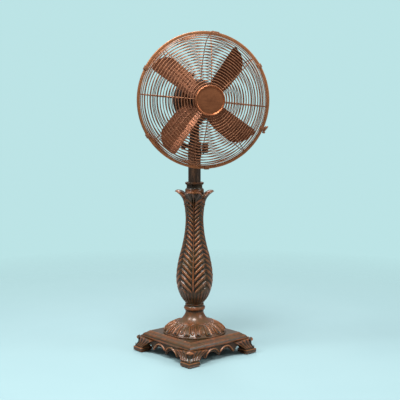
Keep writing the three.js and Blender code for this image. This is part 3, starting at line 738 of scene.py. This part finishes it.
def leaf_heads(angles, across, start_radius, start_height):
    """The flared, fan-veined leaf heads above the vase, out to their tips and back over to the throat."""
    tip_radius = 0.0665 - 0.0275 * across ** 2.4
    tip_height = LEAF_TIP - 0.026 * across ** 5 - 0.004 * across ** 2
    midrib, seam = bump(across, 0.05), bump(1 - across, 0.05)
    rows, tones = [], []
    for w in np.linspace(0, 1, 90)[1:]:
        radius = start_radius + (tip_radius - start_radius) * w ** 2.15
        level = start_height + (tip_height - start_height) * (1.14 * w - 0.14 * w ** 3) ** 0.96
        _, ridge, crest_highlight, start = feather(level, across, 0.031)
        ribbed = 1 - step_up(0.510, 0.512, start)
        line = bump(start - 0.5125, 0.0016)
        lean = np.arctan2(level - 0.508, across * 0.030)                # fans out from the midrib's foot
        veins = np.abs(np.sin(lean * 9.0)) ** 0.8
        rim = step_up(0.92, 0.97, w)
        fan = (0.0018 * (veins - 0.5) + 0.0010 * midrib) * (1 - rim)
        carve = ribbed * (ridge - 0.5) * 0.0026 + (1 - ribbed) * fan + 0.0012 * line + 0.0010 * rim
        rows.append(polar(radius + carve - 0.0016 * seam, angles, level))
        # Ribbed parts get the ridge tone plus the painted crest highlight.
        tone = ribbed * (0.70 * ridge + 0.2 * crest_highlight) + (1 - ribbed) * (0.06 + 0.30 * veins + 0.15 * midrib)
        tone = np.maximum(tone, 0.85 * line)
        tones.append(tone * (1 - rim) + rim * (0.90 - 0.3 * seam))
    for w in np.linspace(0, 1, 26):
        radius = tip_radius + (0.0342 - tip_radius) * w
        rolled = 0.0055 * (1 - across ** 2) * math.sin(math.pi * w ** 0.8)
        rolled = rolled + 0.0012 * math.sin(min(1, 4 * w) * math.pi)
        rows.append(polar(radius, angles, tip_height + rolled + (COLUMN_SEAT - tip_height) * w ** 3))
        tones.append(np.full_like(angles, 0.80 - 0.55 * w))
    return np.stack(rows), np.stack(tones)


def column_carving(levels, across, angles, radius):
    """Height and tone of the carving below the leaf heads: ribs, midribs, beads and a fluted foot."""
    phase, ridge, crest_highlight, _ = feather(levels, across, radius)
    start = levels[0]
    leaf = step_up(0.05, 0.13, across)
    body = step_up(0.207, 0.232, levels)
    midrib = bump(across, 0.05 + 0.03 * step_up(0.45, 0.25, levels))
    beside = bump(across - 0.12, 0.035)
    beads = bump(across - 0.80, 0.035) * bump(phase - 0.40, 0.13) * (levels < 0.33)
    seam = bump(1 - across, 0.03)
    flutes = np.abs(np.sin(angles * 14)) ** 0.7
    carve = body * leaf * (ridge - 0.5) * 0.0052 * (0.40 + 0.60 * radius / 0.061)
    carve = carve + body * (midrib * 0.0014 - beside * 0.0012 - seam * 0.0008 + beads * 0.0016)
    low_part = (1 - body) * step_up(start + 0.004, start + 0.014, levels)
    carve = carve + low_part * (flutes - 0.6) * 0.0026
    away = step_up(0.55, 1.0, across)
    # Ridge tone plus a painted highlight along each rib's crest, weaker towards the seams.
    tone = body * ((0.76 - 0.30 * away) * ridge * leaf + 0.34 * crest_highlight * leaf * (1 - 0.4 * away))
    tone = tone + body * (0.72 * midrib * (1 - leaf) - 0.35 * beside - 0.25 * seam + 0.5 * beads)
    return carve, tone + (1 - body) * (0.04 + 0.42 * flutes)


def column():
    """Vase carved with four feather-like leaves whose heads curl out at the top."""
    angles = around(480)
    # across runs from 0 on one of the four midribs to 1 on the seams between them
    across = np.abs(((angles + np.pi / 2) * 4 / (2 * np.pi) + 0.5) % 1.0 * 2 - 1)
    start, part = low("column"), VASE[-1, 1]
    levels = np.linspace(start, part, 320)[:, None]
    radius = np.interp(levels, VASE[:, 1], VASE[:, 0])
    carve, tone = column_carving(levels, across, angles, radius)
    vase = polar(radius + carve, angles, levels)
    heads, heads_tone = leaf_heads(angles, across, (radius + carve)[-1], part)
    throat = np.array([
        [0.0335, COLUMN_SEAT], [COLUMN_BORE, COLUMN_SEAT], [COLUMN_BORE, start], [0.0290, start]])
    inside = polar(throat[:, :1], angles, throat[:, 1:])
    points = np.concatenate([vase, heads, inside])
    tones = np.clip(np.concatenate([tone, heads_tone, np.full(inside.shape[:2], 0.2)]), 0, 1)
    whole = shape(points, grid_faces(len(points), len(angles), close_rows=True), tones)
    piece_from("leaf_column", whole, STAND, ["column"], sharp=60)


def lock_collar():
    bottom, top = low("lock_collar"), high("lock_collar")
    bore, tube_bore, lip = POLE_RADIUS + 0.0006, 0.0226, top - 0.003
    height = top - bottom
    outside = smooth(outline([
        [0.0290, 0, 0.1], [0.0312, 0.0022, 0.4], [0.0320, 0.0060, 0.62], [0.0320, 0.0110, 0.66],
        [0.0308, 0.0152, 0.45], [0.0278, 0.0180, 0.15], [0.0268, 0.0210, 0.1], [0.0268, 0.0270, 0.15],
        [0.0282, 0.0298, 0.2], [0.0305, 0.0315, 0.3], [0.0312, 0.0335, 0.4], [0.0312, height - 0.0020, 0.45],
        [0.0304, height - 0.0005, 0.6], [0.0285, height, 0.4]], level=bottom), 5)
    profile = np.vstack([outside, [[bore + 0.0008, top, 0.3], [bore, top - 0.0006, 0.2], [bore, lip, 0.1],
                                   [tube_bore, lip, 0.1], [tube_bore, bottom, 0.1]]])
    points, faces, relief_and_painted_light = turned(profile, 192, closed=True)
    radius = np.hypot(points[:, 0], points[:, 1])
    grip = (radius > 0.0309) & (points[:, 2] > bottom + 0.0320) & (points[:, 2] < top - 0.0008)
    knurl = np.cos(np.arctan2(points[:, 1], points[:, 0]) * 48)
    points[:, :2] *= np.where(grip, 1 + 0.0004 * knurl / radius, 1)[:, None]
    piece_from("clamp_collar", (points, faces, relief_and_painted_light), STAND, ["lock_collar"], look="carved_resin")


def pole_and_tube():
    for name, cad_node, inner, outer, look in (
            ("slide_pole", "pole", POLE_RADIUS - 0.002, POLE_RADIUS, "warm_bronze"),
            ("sleeve_tube", "guide_tube", POLE_RADIUS + 0.0003, COLUMN_BORE - 0.0003, None)):
        rows = wall(inner, outer, low(cad_node), high(cad_node))
        turned_piece(name, cad_node, rows, STAND, 0.0006, 96, look=look)


# ---------------------------------------------------------------- tilt joint and controls

# Outlines drawn in (y, z) are raised along X: drawn x, y, z become y, z, x.
ALONG_X = Matrix.Rotation(math.pi / 2, 4, "Y") @ Matrix.Rotation(math.pi / 2, 4, "Z")
AT_TILT = STAND @ Matrix.Translation((0, 0, TILT_HEIGHT)) @ ALONG_X


def tilt_bracket():
    """A cap plugged into the pole, with two round-headed ears and a tongue behind them."""
    seat, top = high("pole") + 0.0003, 0.692
    plug, wide, groove = POLE_RADIUS - 0.0023, POLE_RADIUS + 0.0010, POLE_RADIUS - 0.0004
    cap = turned(filleted([
        [0, seat - 0.030], [plug, seat - 0.030], [plug, seat], [wide, seat], [wide, seat + 0.006],
        [groove, seat + 0.008], [wide, seat + 0.010], [wide, top], [0, top]], 0.0012, closed=False), 72)
    half_turn = np.linspace(0, math.pi, 25)
    ear = np.vstack([[[-0.015, -0.024], [0.015, -0.024]],
                     0.015 * np.column_stack([np.cos(half_turn), np.sin(half_turn)])])
    cheeks = []
    for side in (-1, 1):
        cheeks.append(prism(ear, *sorted((side * 0.0134, side * 0.0200)), 0.0012))
        cheeks.append(post(0.0095, *sorted((side * 0.0195, side * 0.0201)), 0.0002))
    tongue = prism(box_outline(0.022, 0.014, 0.002, (0, 0.0165)), 0.677, 0.691, 0.001)
    whole = join([moved(cap, STAND), moved(join(cheeks), AT_TILT), moved(tongue, STAND)])
    piece_from("pivot_bracket", whole, Matrix(), ["tilt_bracket"], weld=True)


def neck():
    """A lug between the ears and above it the barrel that the head turns on."""
    bottom, top = TILT_HEIGHT + 0.017, high("neck")
    waist, socket = NECK_RADIUS - 0.0012, 0.0084
    barrel = turned(filleted([
        [0, bottom - 0.004], [0.0135, bottom - 0.004], [NECK_RADIUS, bottom], [NECK_RADIUS, bottom + 0.010],
        [waist, bottom + 0.012], [waist, top - 0.012], [NECK_RADIUS, top - 0.010], [NECK_RADIUS, top],
        [socket, top], [socket, top - 0.040], [0, top - 0.040]], 0.001, closed=False), 72)
    lug = post(0.0145, -0.0131, 0.0131, 0.001)
    web = prism(box_outline(0.0262, 0.024, 0.003), TILT_HEIGHT, TILT_HEIGHT + 0.024, 0.001)
    whole = join([moved(barrel, STAND), moved(lug, AT_TILT), moved(web, STAND)])
    piece_from("neck_casting", whole, Matrix(), ["neck"], weld=True)


def tilt_bolt():
    """A bolt with a washer and a six-sided head."""
    shank = post(0.004, -0.041, 0.021, sides=32)
    washer = post(0.0098, 0.0201, 0.0212, 0.0003, sides=40)
    head = post(0.008, 0.0210, 0.0253, 0.0008, sides=6)
    piece_from("pivot_bolt", join([shank, washer, head]), AT_TILT, ["tilt_bolt"])


def tilt_knob():
    stem = post(0.007, -0.0315, -0.0203, 0.0006, sides=40)
    grip = prism(lobed(0.0118, 0.0012, 5, 120), -0.0450, -0.0310, 0.0022, 4)
    piece_from("lobed_knob", join([stem, grip]), AT_TILT, ["tilt_knob"])


def control_housing():
    """A box in two halves behind the pivot, with four screws in its back."""
    lowest, highest = low("control_box"), high("control_box")
    upright = STAND @ Matrix.Rotation(math.pi / 2, 4, "X")       # drawn x, y, z become x, z, -y
    drawn = box_outline(0.040, highest - lowest, 0.006, (0, (lowest + highest) / 2))
    piece_from("switch_box", prism(drawn, -0.0390, -0.0240, 0.0012), upright, ["control_box"])
    back = [prism(drawn, -0.0520, -0.0393, 0.0016)]
    back += [post(0.0028, -0.0530, -0.0515, sides=24, centre=(x, z))
             for x in (-0.014, 0.014) for z in (lowest + 0.006, highest - 0.006)]
    piece_from("switch_cover", join(back), upright, ["control_cover"])


def speed_knob():
    """Round speed knob with a ribbed grip and a raised pointer."""
    behind, height = 0.032, 0.704
    place = STAND @ Matrix.Translation((0, behind, height)) @ ALONG_X
    skirt = post(0.0190, 0.0250, 0.0310, 0.0012, sides=72)
    grip = prism(lobed(0.0161, 0.0004, 30, 240), 0.0305, 0.0430, 0.0016, 4)
    pointer = prism(box_outline(0.0036, 0.0300, 0.0012), 0.0425, 0.0448, 0.0008)
    spindle = post(0.003, 0.0115, 0.0255, 0.0004, sides=24)
    piece_from("dial_knob", join([skirt, grip, pointer, spindle]), place, ["speed_knob"])


# ---------------------------------------------------------------- guard

SPOKES = 8
SPOKE_TURN = math.radians(-5.5)
SPOKE_WIRE = 0.0015
RING_WIRE = 0.00145
RING_PITCH = 0.0091
FRONT_CROWN = 0.072
FRONT_FALL = 1.5
REAR_PLATE = 0.0595
REAR_BORE = 0.0224
LATCH_TURN = 335


def front_ahead(radius):
    """How far ahead of the pole's axis the front guard's rings lie."""
    return RIM_AHEAD + FRONT_CROWN - FRONT_FALL * radius ** 2


def rear_ahead(radius):
    """The same for the rear guard's rings."""
    share = max(0, 1 - (radius / EDGE_RADIUS) ** 4)
    return RIM_AHEAD + (REAR_PLATE - RIM_AHEAD) * math.sqrt(share)


def ring_at(radius, ahead, wire=RING_WIRE, segments=168):
    return tube(polar(radius, around(segments), ahead), wire, closed=True)


def wire_guard(name, cad_node, rings, edge_ahead, spoke, plate):
    """Wire rings, a thicker edge ring, spokes along a path of [radius, ahead] and a middle plate."""
    shapes = [ring_at(radius, ahead) for radius, ahead in rings]
    shapes.append(ring_at(EDGE_RADIUS, edge_ahead, EDGE_WIRE, 200))
    path = smooth(spoke + [[EDGE_RADIUS, edge_ahead]], 5)
    single = tube(polar(path[:, 0], 0, path[:, 1]), SPOKE_WIRE)
    shapes += [moved(single, turn(SPOKE_TURN + k / SPOKES * 2 * math.pi)) for k in range(SPOKES)]
    piece_from(name, join(shapes + [plate]), HEAD, [cad_node], weld=True)


def front_guard():
    """Nineteen rings on a shallow bowl that turns down to the rim."""
    rings = [(radius, front_ahead(radius)) for radius in 0.0550 + RING_PITCH * np.arange(17)]
    rings += [(0.2065, RIM_AHEAD + 0.0090), (0.2110, RIM_AHEAD + 0.0066)]
    spoke = [[radius, front_ahead(radius) - 2 * RING_WIRE]
             for radius in (0.040, 0.075, 0.110, 0.145, 0.175, 0.198)]
    spoke += [[0.2075, RIM_AHEAD + 0.0068], [0.2118, RIM_AHEAD + 0.0030]]
    crown = front_ahead(BADGE_RADIUS)
    disc = wall(0, BADGE_RADIUS + 0.001, crown - 0.0015, crown + 0.0015)
    plate = turned(filleted(disc, 0.0006, closed=False))
    wire_guard("wire_guard_front", "front_guard", rings, RIM_AHEAD + 0.0021, spoke, plate)


def rear_guard():
    """Seventeen rings on a deep bowl, round the plate that holds the motor."""
    radii = [*(0.0690 + RING_PITCH * np.arange(15)), 0.2035, 0.2090]
    rings = [(radius, rear_ahead(radius)) for radius in radii]
    spoke = [[radius, rear_ahead(radius) - 2 * RING_WIRE]
             for radius in (0.056, 0.090, 0.120, 0.150, 0.175, 0.195)]
    spoke += [[0.2065, RIM_AHEAD - 0.0240], [0.2114, RIM_AHEAD - 0.0090], [0.2124, RIM_AHEAD - 0.0030]]
    disc = wall(REAR_BORE, 0.0620, REAR_PLATE - 0.0012, REAR_PLATE + 0.0012)
    plate = turned(filleted(disc, 0.0005), closed=True)
    wire_guard("wire_guard_rear", "rear_guard", rings, RIM_AHEAD - 0.0021, spoke, plate)


def rim():
    """A band round the edges of both guards, hollow towards them."""
    inner, outer, floor_radius = 0.2131, RIM_RADIUS, RIM_RADIUS - 0.0020
    half, hollow = 0.0054, 0.0040
    rows = outline([
        [inner, -half], [outer - 0.0006, 0.0004 - half], [outer, 0.0020 - half], [outer, half - 0.0020],
        [outer - 0.0006, half - 0.0004], [inner, half], [inner, hollow], [floor_radius, hollow],
        [floor_radius, -hollow], [inner, -hollow]], level=RIM_AHEAD)
    turned_piece("rim_band", "rim_ring", rows, HEAD, 0.0008, 288, look="rim_copper")


def clips():
    """Bent strips over the rim with a pressed rivet; the top one is wide and has two."""
    foot, inner, outer, side, hollow = 0.2125, RIM_RADIUS + 0.0006, RIM_RADIUS + 0.0022, 0.0074, 0.0059
    section = filleted([
        [foot, -side], [outer, -side], [outer, side], [foot, side], [foot, hollow], [inner, hollow],
        [inner, -hollow], [foot, -hollow]], 0.0009)
    # drawn x is the radius, drawn y is ahead of the rim and the strip is raised round the rim
    stand_up = Matrix(((1, 0, 0, 0), (0, 0, -1, 0), (0, 1, 0, RIM_AHEAD), (0, 0, 0, 1)))
    rivet = turned(smooth([[0.0018, 0], [0.0015, 0.0007], [0.0, 0.0010]], 4), 20)
    for number, degrees in enumerate([80.5, 31, 152, 211, 272, LATCH_TURN], 1):
        width, offsets = (0.024, (-0.006, 0.006)) if number == 1 else (0.014, (0,))
        strip = moved(prism(section, -width / 2, width / 2, 0.0005), stand_up)
        rivets = [moved(rivet, Matrix.Translation((0.2165, offset, RIM_AHEAD + side - 0.0002)))
                  for offset in offsets]
        place = HEAD @ turn(math.radians(degrees))
        piece_from(f"rim_clamp_{number}", join([strip] + rivets), place, [f"rim_clip_{number}"], weld=True)


def latch():
    """The over-centre lever that pulls the rim closed, on its barrel."""
    back, front = RIM_AHEAD - 0.006, RIM_AHEAD + 0.006
    drawn = filleted(outline([
        [0.0037, -0.007], [0.0070, -0.007], [0.0100, 0.001], [0.0127, 0.012], [0.0122, 0.015],
        [0.0090, 0.0145], [0.0037, 0.010]], RIM_RADIUS), 0.0015)
    lever = prism(drawn, back, front, 0.0009)
    barrel = post(0.0036, back, front, 0.0006, 32, (RIM_RADIUS + 0.0072, -0.009))
    place = HEAD @ turn(math.radians(LATCH_TURN))
    piece_from("latch_handle", join([lever, barrel]), place, ["latch_lever"])


def badge():
    """Plain round badge: a bright raised rim round a brushed recess, without any mark."""
    back, front, radius = front_ahead(BADGE_RADIUS) + 0.0018, BADGE_FRONT, BADGE_RADIUS
    face = smooth([
        [radius - 0.0020, back + 0.0006], [radius, back + 0.0030], [radius, front - 0.0028],
        [radius - 0.0012, front - 0.0006], [radius - 0.0028, front], [radius - 0.0044, front - 0.0006],
        [radius - 0.0054, front - 0.0028], [radius - 0.0062, front - 0.0040],
        [radius - 0.0085, front - 0.0040], [radius - 0.020, front - 0.0034], [0.012, front - 0.0031],
        [0.0, front - 0.0030]], 5)
    profile = np.vstack([[[0.0, back], [radius - 0.0024, back]], face])
    piece_from("badge_disc", turned(profile, 160), HEAD, ["badge"], look="badge", weld=True)


def guard_nut():
    """Ring nut that holds the rear guard, with a ribbed rim."""
    bottom = REAR_PLATE + 0.0015
    ribbed = prism(lobed(0.0336, 0.0004, 24, 240), bottom, bottom + 0.0060)
    rows = outline([[REAR_BORE, 0.0058], [0.0310, 0.0058], [0.0300, 0.0090], [REAR_BORE, 0.0090]],
                   level=bottom)
    collar = turned(filleted(rows, 0.0008), closed=True)
    piece_from("ring_nut", join([ribbed, collar]), HEAD, ["guard_nut"])


# ---------------------------------------------------------------- motor and blades


def motor_bell(name, cad_node, rows, fillet, vent_start, vent_end, weld=False):
    """A thin turned bell of the motor, with radial slots between two radii."""
    profile = resampled(filleted(rows, fillet, closed=False), 0.002)
    vented = np.flatnonzero((profile[:, 0] > vent_start) & (profile[:, 0] < vent_end))
    sides, pitch, bar = 144, 4, 2
    points, faces, relief_and_painted_light = turned(profile, sides)
    kept = [face for k, face in enumerate(faces)
            if not vented[0] <= k // sides < vented[-1] or k % sides % pitch < bar]
    made = piece_from(name, (points, kept, relief_and_painted_light), HEAD, [cad_node], weld=weld)
    skin = made.modifiers.new("wall", "SOLIDIFY")
    skin.thickness, skin.offset = 0.0024, -1


def motor():
    radius = MOTOR_RADIUS
    motor_bell("motor_bell_front", "motor_front_cover", [
        [radius, 0.0120], [radius, 0.0400], [radius - 0.0080, 0.0530], [radius - 0.0220, 0.0578],
        [0.0220, 0.0578], [0.0220, 0.0720], [0.0066, 0.0720]], 0.003, 0.0300, radius - 0.014)
    motor_bell("motor_bell_rear", "motor_rear_cover", [
        [0.0001, -0.0680], [0.0280, -0.0660], [0.0500, -0.0580], [0.0650, -0.0420], [radius, -0.0200],
        [radius, 0.0117]], 0.006, 0.0340, 0.0600, weld=True)


def oscillation_knob():
    stem = post(0.004, 0.040, 0.084, sides=32)
    head = turned(filleted([
        [0, 0.0820], [0.0050, 0.0820], [0.0090, 0.0850], [0.0090, 0.0910], [0.0070, 0.0930], [0, 0.0930]],
        0.001, closed=False), 48)
    place = Matrix.Translation((0, 0.034, HEAD_HEIGHT))
    piece_from("pull_knob", join([stem, head]), place, ["oscillation_knob"], weld=True)


def saddle():
    """Casting that carries the motor on the neck."""
    rows = outline([
        [0, -0.040], [0.008, -0.040], [0.008, 0], [0.0200, 0], [0.0270, 0.0060], [0.0270, 0.0180],
        [0.0240, 0.0195], [0, 0.0130]], level=high("neck") + 0.0003)
    turned_piece("motor_bracket", "motor_saddle", rows, Matrix(), 0.0015, 72, closed=False)


BLADES = 4
BLADE_TURN = math.radians(50.5)
BLADE_ROOT = 0.036
BLADE_TIP = 0.201
SHAFT_RADIUS = 0.005
SHAFT_BORE = SHAFT_RADIUS + 0.0003
NUT_SEAT = -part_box("blade_nut")[1].y
BLADE_AHEAD = NUT_SEAT - 0.0123


def blade_turn(number):
    return turn(BLADE_TURN + number / BLADES * 2 * math.pi)


def blade_point(u, v):
    """Middle surface of a blade, as in the CAD: u runs from root to tip and v across to the bent edge."""
    rounded = -0.030 - 0.014 * np.sin(np.clip(1.8 * u, -1, 1) * np.pi / 2)
    straight = 0.021 + 0.013 * u
    crease = straight - 0.014 - 0.008 * u
    tip = BLADE_TIP - 0.042 * (1 - v) ** 3.6 - 0.009 * np.maximum(0, 1 - (1 - v) / 0.12) ** 2
    sideways = rounded + (straight - rounded) * v
    slope, steep = np.tan(np.radians(27 - 10 * u)), np.tan(np.radians(48 - 10 * u))
    ahead = np.minimum(sideways, crease) * slope + np.maximum(0, sideways - crease) * steep
    return np.stack([BLADE_ROOT + (tip - BLADE_ROOT) * u, sideways, BLADE_AHEAD + ahead], axis=-1)


def sheet(middle, thickness):
    """A grid of points thickened ahead and behind into a closed sheet."""
    rows, columns = middle.shape[:2]
    count = rows * columns
    half = np.array([0, 0, thickness / 2])
    faces = grid_faces(rows, columns, close_columns=False)
    faces += [[corner + count for corner in face[::-1]] for face in faces]
    ids = np.arange(count).reshape(rows, columns)
    edge = np.concatenate([ids[:, 0], ids[-1, 1:], ids[-2::-1, -1], ids[0, -2:0:-1]]).tolist()
    faces += [[b, a, a + count, b + count] for a, b in zip(edge, edge[1:] + edge[:1])]
    return shape([middle + half, middle - half], faces)


def blades():
    """Pressed sheet blades with two shallow ribs, one bent edge and rivets at the root."""
    u, v = np.meshgrid(np.linspace(0, 1, 90), np.linspace(0, 1, 73), indexing="ij")
    middle = blade_point(u, v)
    rib = bump(v - 0.26, 0.020) + bump(v - 0.48, 0.020)
    middle[..., 2] += 0.0010 * rib * step_up(0.12, 0.22, u) * (1 - step_up(0.70, 0.80, u))
    rivet = turned(smooth([[0.0042, -0.0012], [0.0040, 0.0010], [0.0024, 0.0022], [0.0, 0.0025]], 4), 24)
    rivets = [moved(rivet, Matrix.Translation(Vector(blade_point(*place))))
              for place in ((0.06, 0.42), (0.06, 0.66), (0.17, 0.54))]
    whole = join([sheet(middle, 0.0014)] + rivets)
    for number in range(BLADES):
        place = HEAD @ blade_turn(number)
        piece_from(f"sheet_blade_{number + 1}", whole, place, [f"blade_{number + 1}"], sharp=18, weld=True)


def hub():
    """Hub with a disc and four arms that carry the blades from behind."""
    core = turned(filleted(outline([
        [SHAFT_BORE, -0.022], [0.0150, -0.022], [0.0170, -0.008], [0.0340, -0.006], [0.0340, -0.002],
        [0.0170, 0], [0.0150, 0.012], [SHAFT_BORE, 0.012]], level=BLADE_AHEAD), 0.0008), closed=True)
    inner, outer = ((radius - BLADE_ROOT) / (BLADE_TIP - BLADE_ROOT) for radius in (0.026, 0.072))
    u, v = np.meshgrid(np.linspace(inner, outer, 16), np.linspace(0.40, 0.68, 9), indexing="ij")
    arm = sheet(blade_point(u, v) - np.array([0, 0, 0.0019]), 0.0020)
    arms = [moved(arm, blade_turn(number)) for number in range(BLADES)]
    piece_from("blade_spider", join([core] + arms), HEAD, ["blade_hub"])


def shaft_and_nut():
    rod = wall(0, SHAFT_RADIUS, -0.060, 0.137)
    turned_piece("motor_shaft", "shaft", rod, HEAD, 0.0008, 40, closed=False)
    nut = outline([[SHAFT_BORE, 0], [0.0120, 0], [0.0120, 0.008], [0.0090, 0.012], [SHAFT_BORE, 0.012]],
                  level=NUT_SEAT)
    turned_piece("blade_cap_nut", "blade_nut", nut, HEAD, 0.0012, 64)


# ---------------------------------------------------------------- underside


def underside():
    """Ballast casting with a shallow recess, the tie rod's washer and the rubber glides."""
    bottom, top = low("ballast_disc"), high("ballast_disc")
    recess = bottom + 0.002
    turned_piece("ballast_casting", "ballast_disc", [
        [0.006, bottom], [0.018, bottom], [0.020, recess], [0.080, recess], [0.083, bottom],
        [0.092, bottom], [0.092, top], [0.006, top]], STAND, 0.001, 128)
    washer = wall(0.0054, 0.016, low("base_washer"), high("base_washer"))
    turned_piece("rod_washer", "base_washer", washer, STAND, 0.0005, 64)
    for corner in CORNERS:
        lowest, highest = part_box(f"glide_{corner}")
        centre = (lowest + highest) / 2
        place = Matrix.Translation((centre.x, centre.y, 0))
        pad = wall(0, 0.015, 0, highest.z)
        turned_piece(f"rubber_glide_{corner}", f"glide_{corner}", pad, place, 0.0009, 48, closed=False)


# ---------------------------------------------------------------- stage, light and camera

BACKDROP = (0.505, 0.775, 0.790)


def floor():
    """A pale floor that fades into the backdrop, so that no horizon shows."""
    sides = 96
    mesh = bpy.data.meshes.new("floor")
    mesh.from_pydata(polar(5.0, around(sides), 0).tolist(), [], [list(range(sides))])
    made = placed("floor", mesh)
    material, tree, shader = start_material("floor_paper")
    shader.inputs["Roughness"].default_value = 0.9
    shader.inputs["Specular IOR Level"].default_value = 0.1
    shade = ramp(tree, noise(tree, 3, 2), [(0.3, (0.332, 0.493, 0.520)), (0.7, (0.342, 0.503, 0.528))])
    camera_ray = node(tree, "LightPath").outputs["Is Camera Ray"]
    shade = blend_colours(tree, camera_ray, (0.42, 0.41, 0.40), shade)    # grey where it lights the object
    tree.links.new(shade, shader.inputs["Base Color"])
    place = node(tree, "TexCoord").outputs["Object"]
    distance = node(tree, "VectorMath", {0: place}, operation="LENGTH").outputs["Value"]
    fade = node(tree, "MapRange", {"Value": distance, "From Min": 0.7, "From Max": 2.2}).outputs["Result"]
    clear = node(tree, "BsdfTransparent")
    mixed = node(tree, "MixShader", {0: fade, 1: shader.outputs[0], 2: clear.outputs[0]})
    tree.links.new(mixed.outputs[0], tree.nodes["Material Output"].inputs["Surface"])
    mesh.materials.append(material)


def world():
    """The camera sees the plain backdrop; the object is lit by a soft room, brighter above."""
    made = bpy.data.worlds.new("studio")
    bpy.context.scene.world = made
    made.use_nodes = True
    tree = made.node_tree
    tree.nodes.clear()
    direction = node(tree, "TexCoord").outputs["Generated"]
    height = node(tree, "SeparateXYZ", {0: direction}).outputs["Z"]
    level = node(tree, "MapRange", {"Value": height, "From Min": -0.25, "From Max": 0.9}).outputs["Result"]
    room = ramp(tree, level, [(0.0, 0.10), (0.3, 0.36), (1.0, 1.0)])
    light = node(tree, "Background", {"Color": room, "Strength": 0.62})
    seen = node(tree, "Background", {"Color": (*BACKDROP, 1), "Strength": 1.0})
    camera_ray = node(tree, "LightPath").outputs["Is Camera Ray"]
    mixed = node(tree, "MixShader", {0: camera_ray, 1: light.outputs[0], 2: seen.outputs[0]})
    output = node(tree, "OutputWorld")
    tree.links.new(mixed.outputs[0], output.inputs["Surface"])


LIT_HEIGHT = 0.55


def softbox(name, azimuth, elevation, distance, size, watts):
    """A square area light at a bearing from the object, turned to its middle."""
    data = bpy.data.lights.new(name, "AREA")
    data.shape, data.size, data.energy = "SQUARE", size, watts
    made = placed(name, data)
    a, e = math.radians(azimuth), math.radians(elevation)
    back = Vector((math.sin(a) * math.cos(e), -math.cos(a) * math.cos(e), math.sin(e)))
    made.location = Vector((0, 0, LIT_HEIGHT)) + back * distance
    made.rotation_euler = (-back).to_track_quat("-Z", "Y").to_euler()


CAMERA_DISTANCE = 3.083
CAMERA_HEIGHT = 0.869
CAMERA_BEARING = STAND_TURN + math.radians(4.72)      # nearly square to the front corner of the base
CAMERA_DROP = math.radians(6.29)
CAMERA_PAN = math.radians(0.35)


def camera():
    data = bpy.data.cameras.new("camera")
    data.sensor_width = 36
    data.lens = 81.8
    made = placed("camera", data)
    made.location = (CAMERA_DISTANCE * math.sin(CAMERA_BEARING),
                     -CAMERA_DISTANCE * math.cos(CAMERA_BEARING), CAMERA_HEIGHT)
    made.rotation_euler = (math.pi / 2 - CAMERA_DROP, 0, CAMERA_BEARING - CAMERA_PAN)
    bpy.context.scene.camera = made


# ---------------------------------------------------------------- everything together


def dress_cad_nodes():
    """Every CAD node gets its slot's material, including those that no piece replaces."""
    for name, cad in frame["nodes"].items():
        cad.data.materials.clear()
        cad.data.materials.append(MATERIALS[SLOT_OF[name]])


bpy.context.scene.view_settings.view_transform = "Standard"
camera()
world()
floor()
softbox("key", -22, 62, 2.6, 0.9, 70)
softbox("left", -80, 46, 2.8, 0.9, 34)
softbox("right", 58, 27, 3.0, 1.2, 24)
softbox("back", 170, 45, 2.8, 1.4, 26)
dress_cad_nodes()
for build in (
        base_plate, feet, aprons, dome, column_ring, column, lock_collar, pole_and_tube, tilt_bracket, neck,
        tilt_bolt, tilt_knob, control_housing, speed_knob, front_guard, rear_guard, rim, clips, latch, badge,
        guard_nut, motor, oscillation_knob, saddle, blades, hub, shaft_and_nut, underside):
    build()
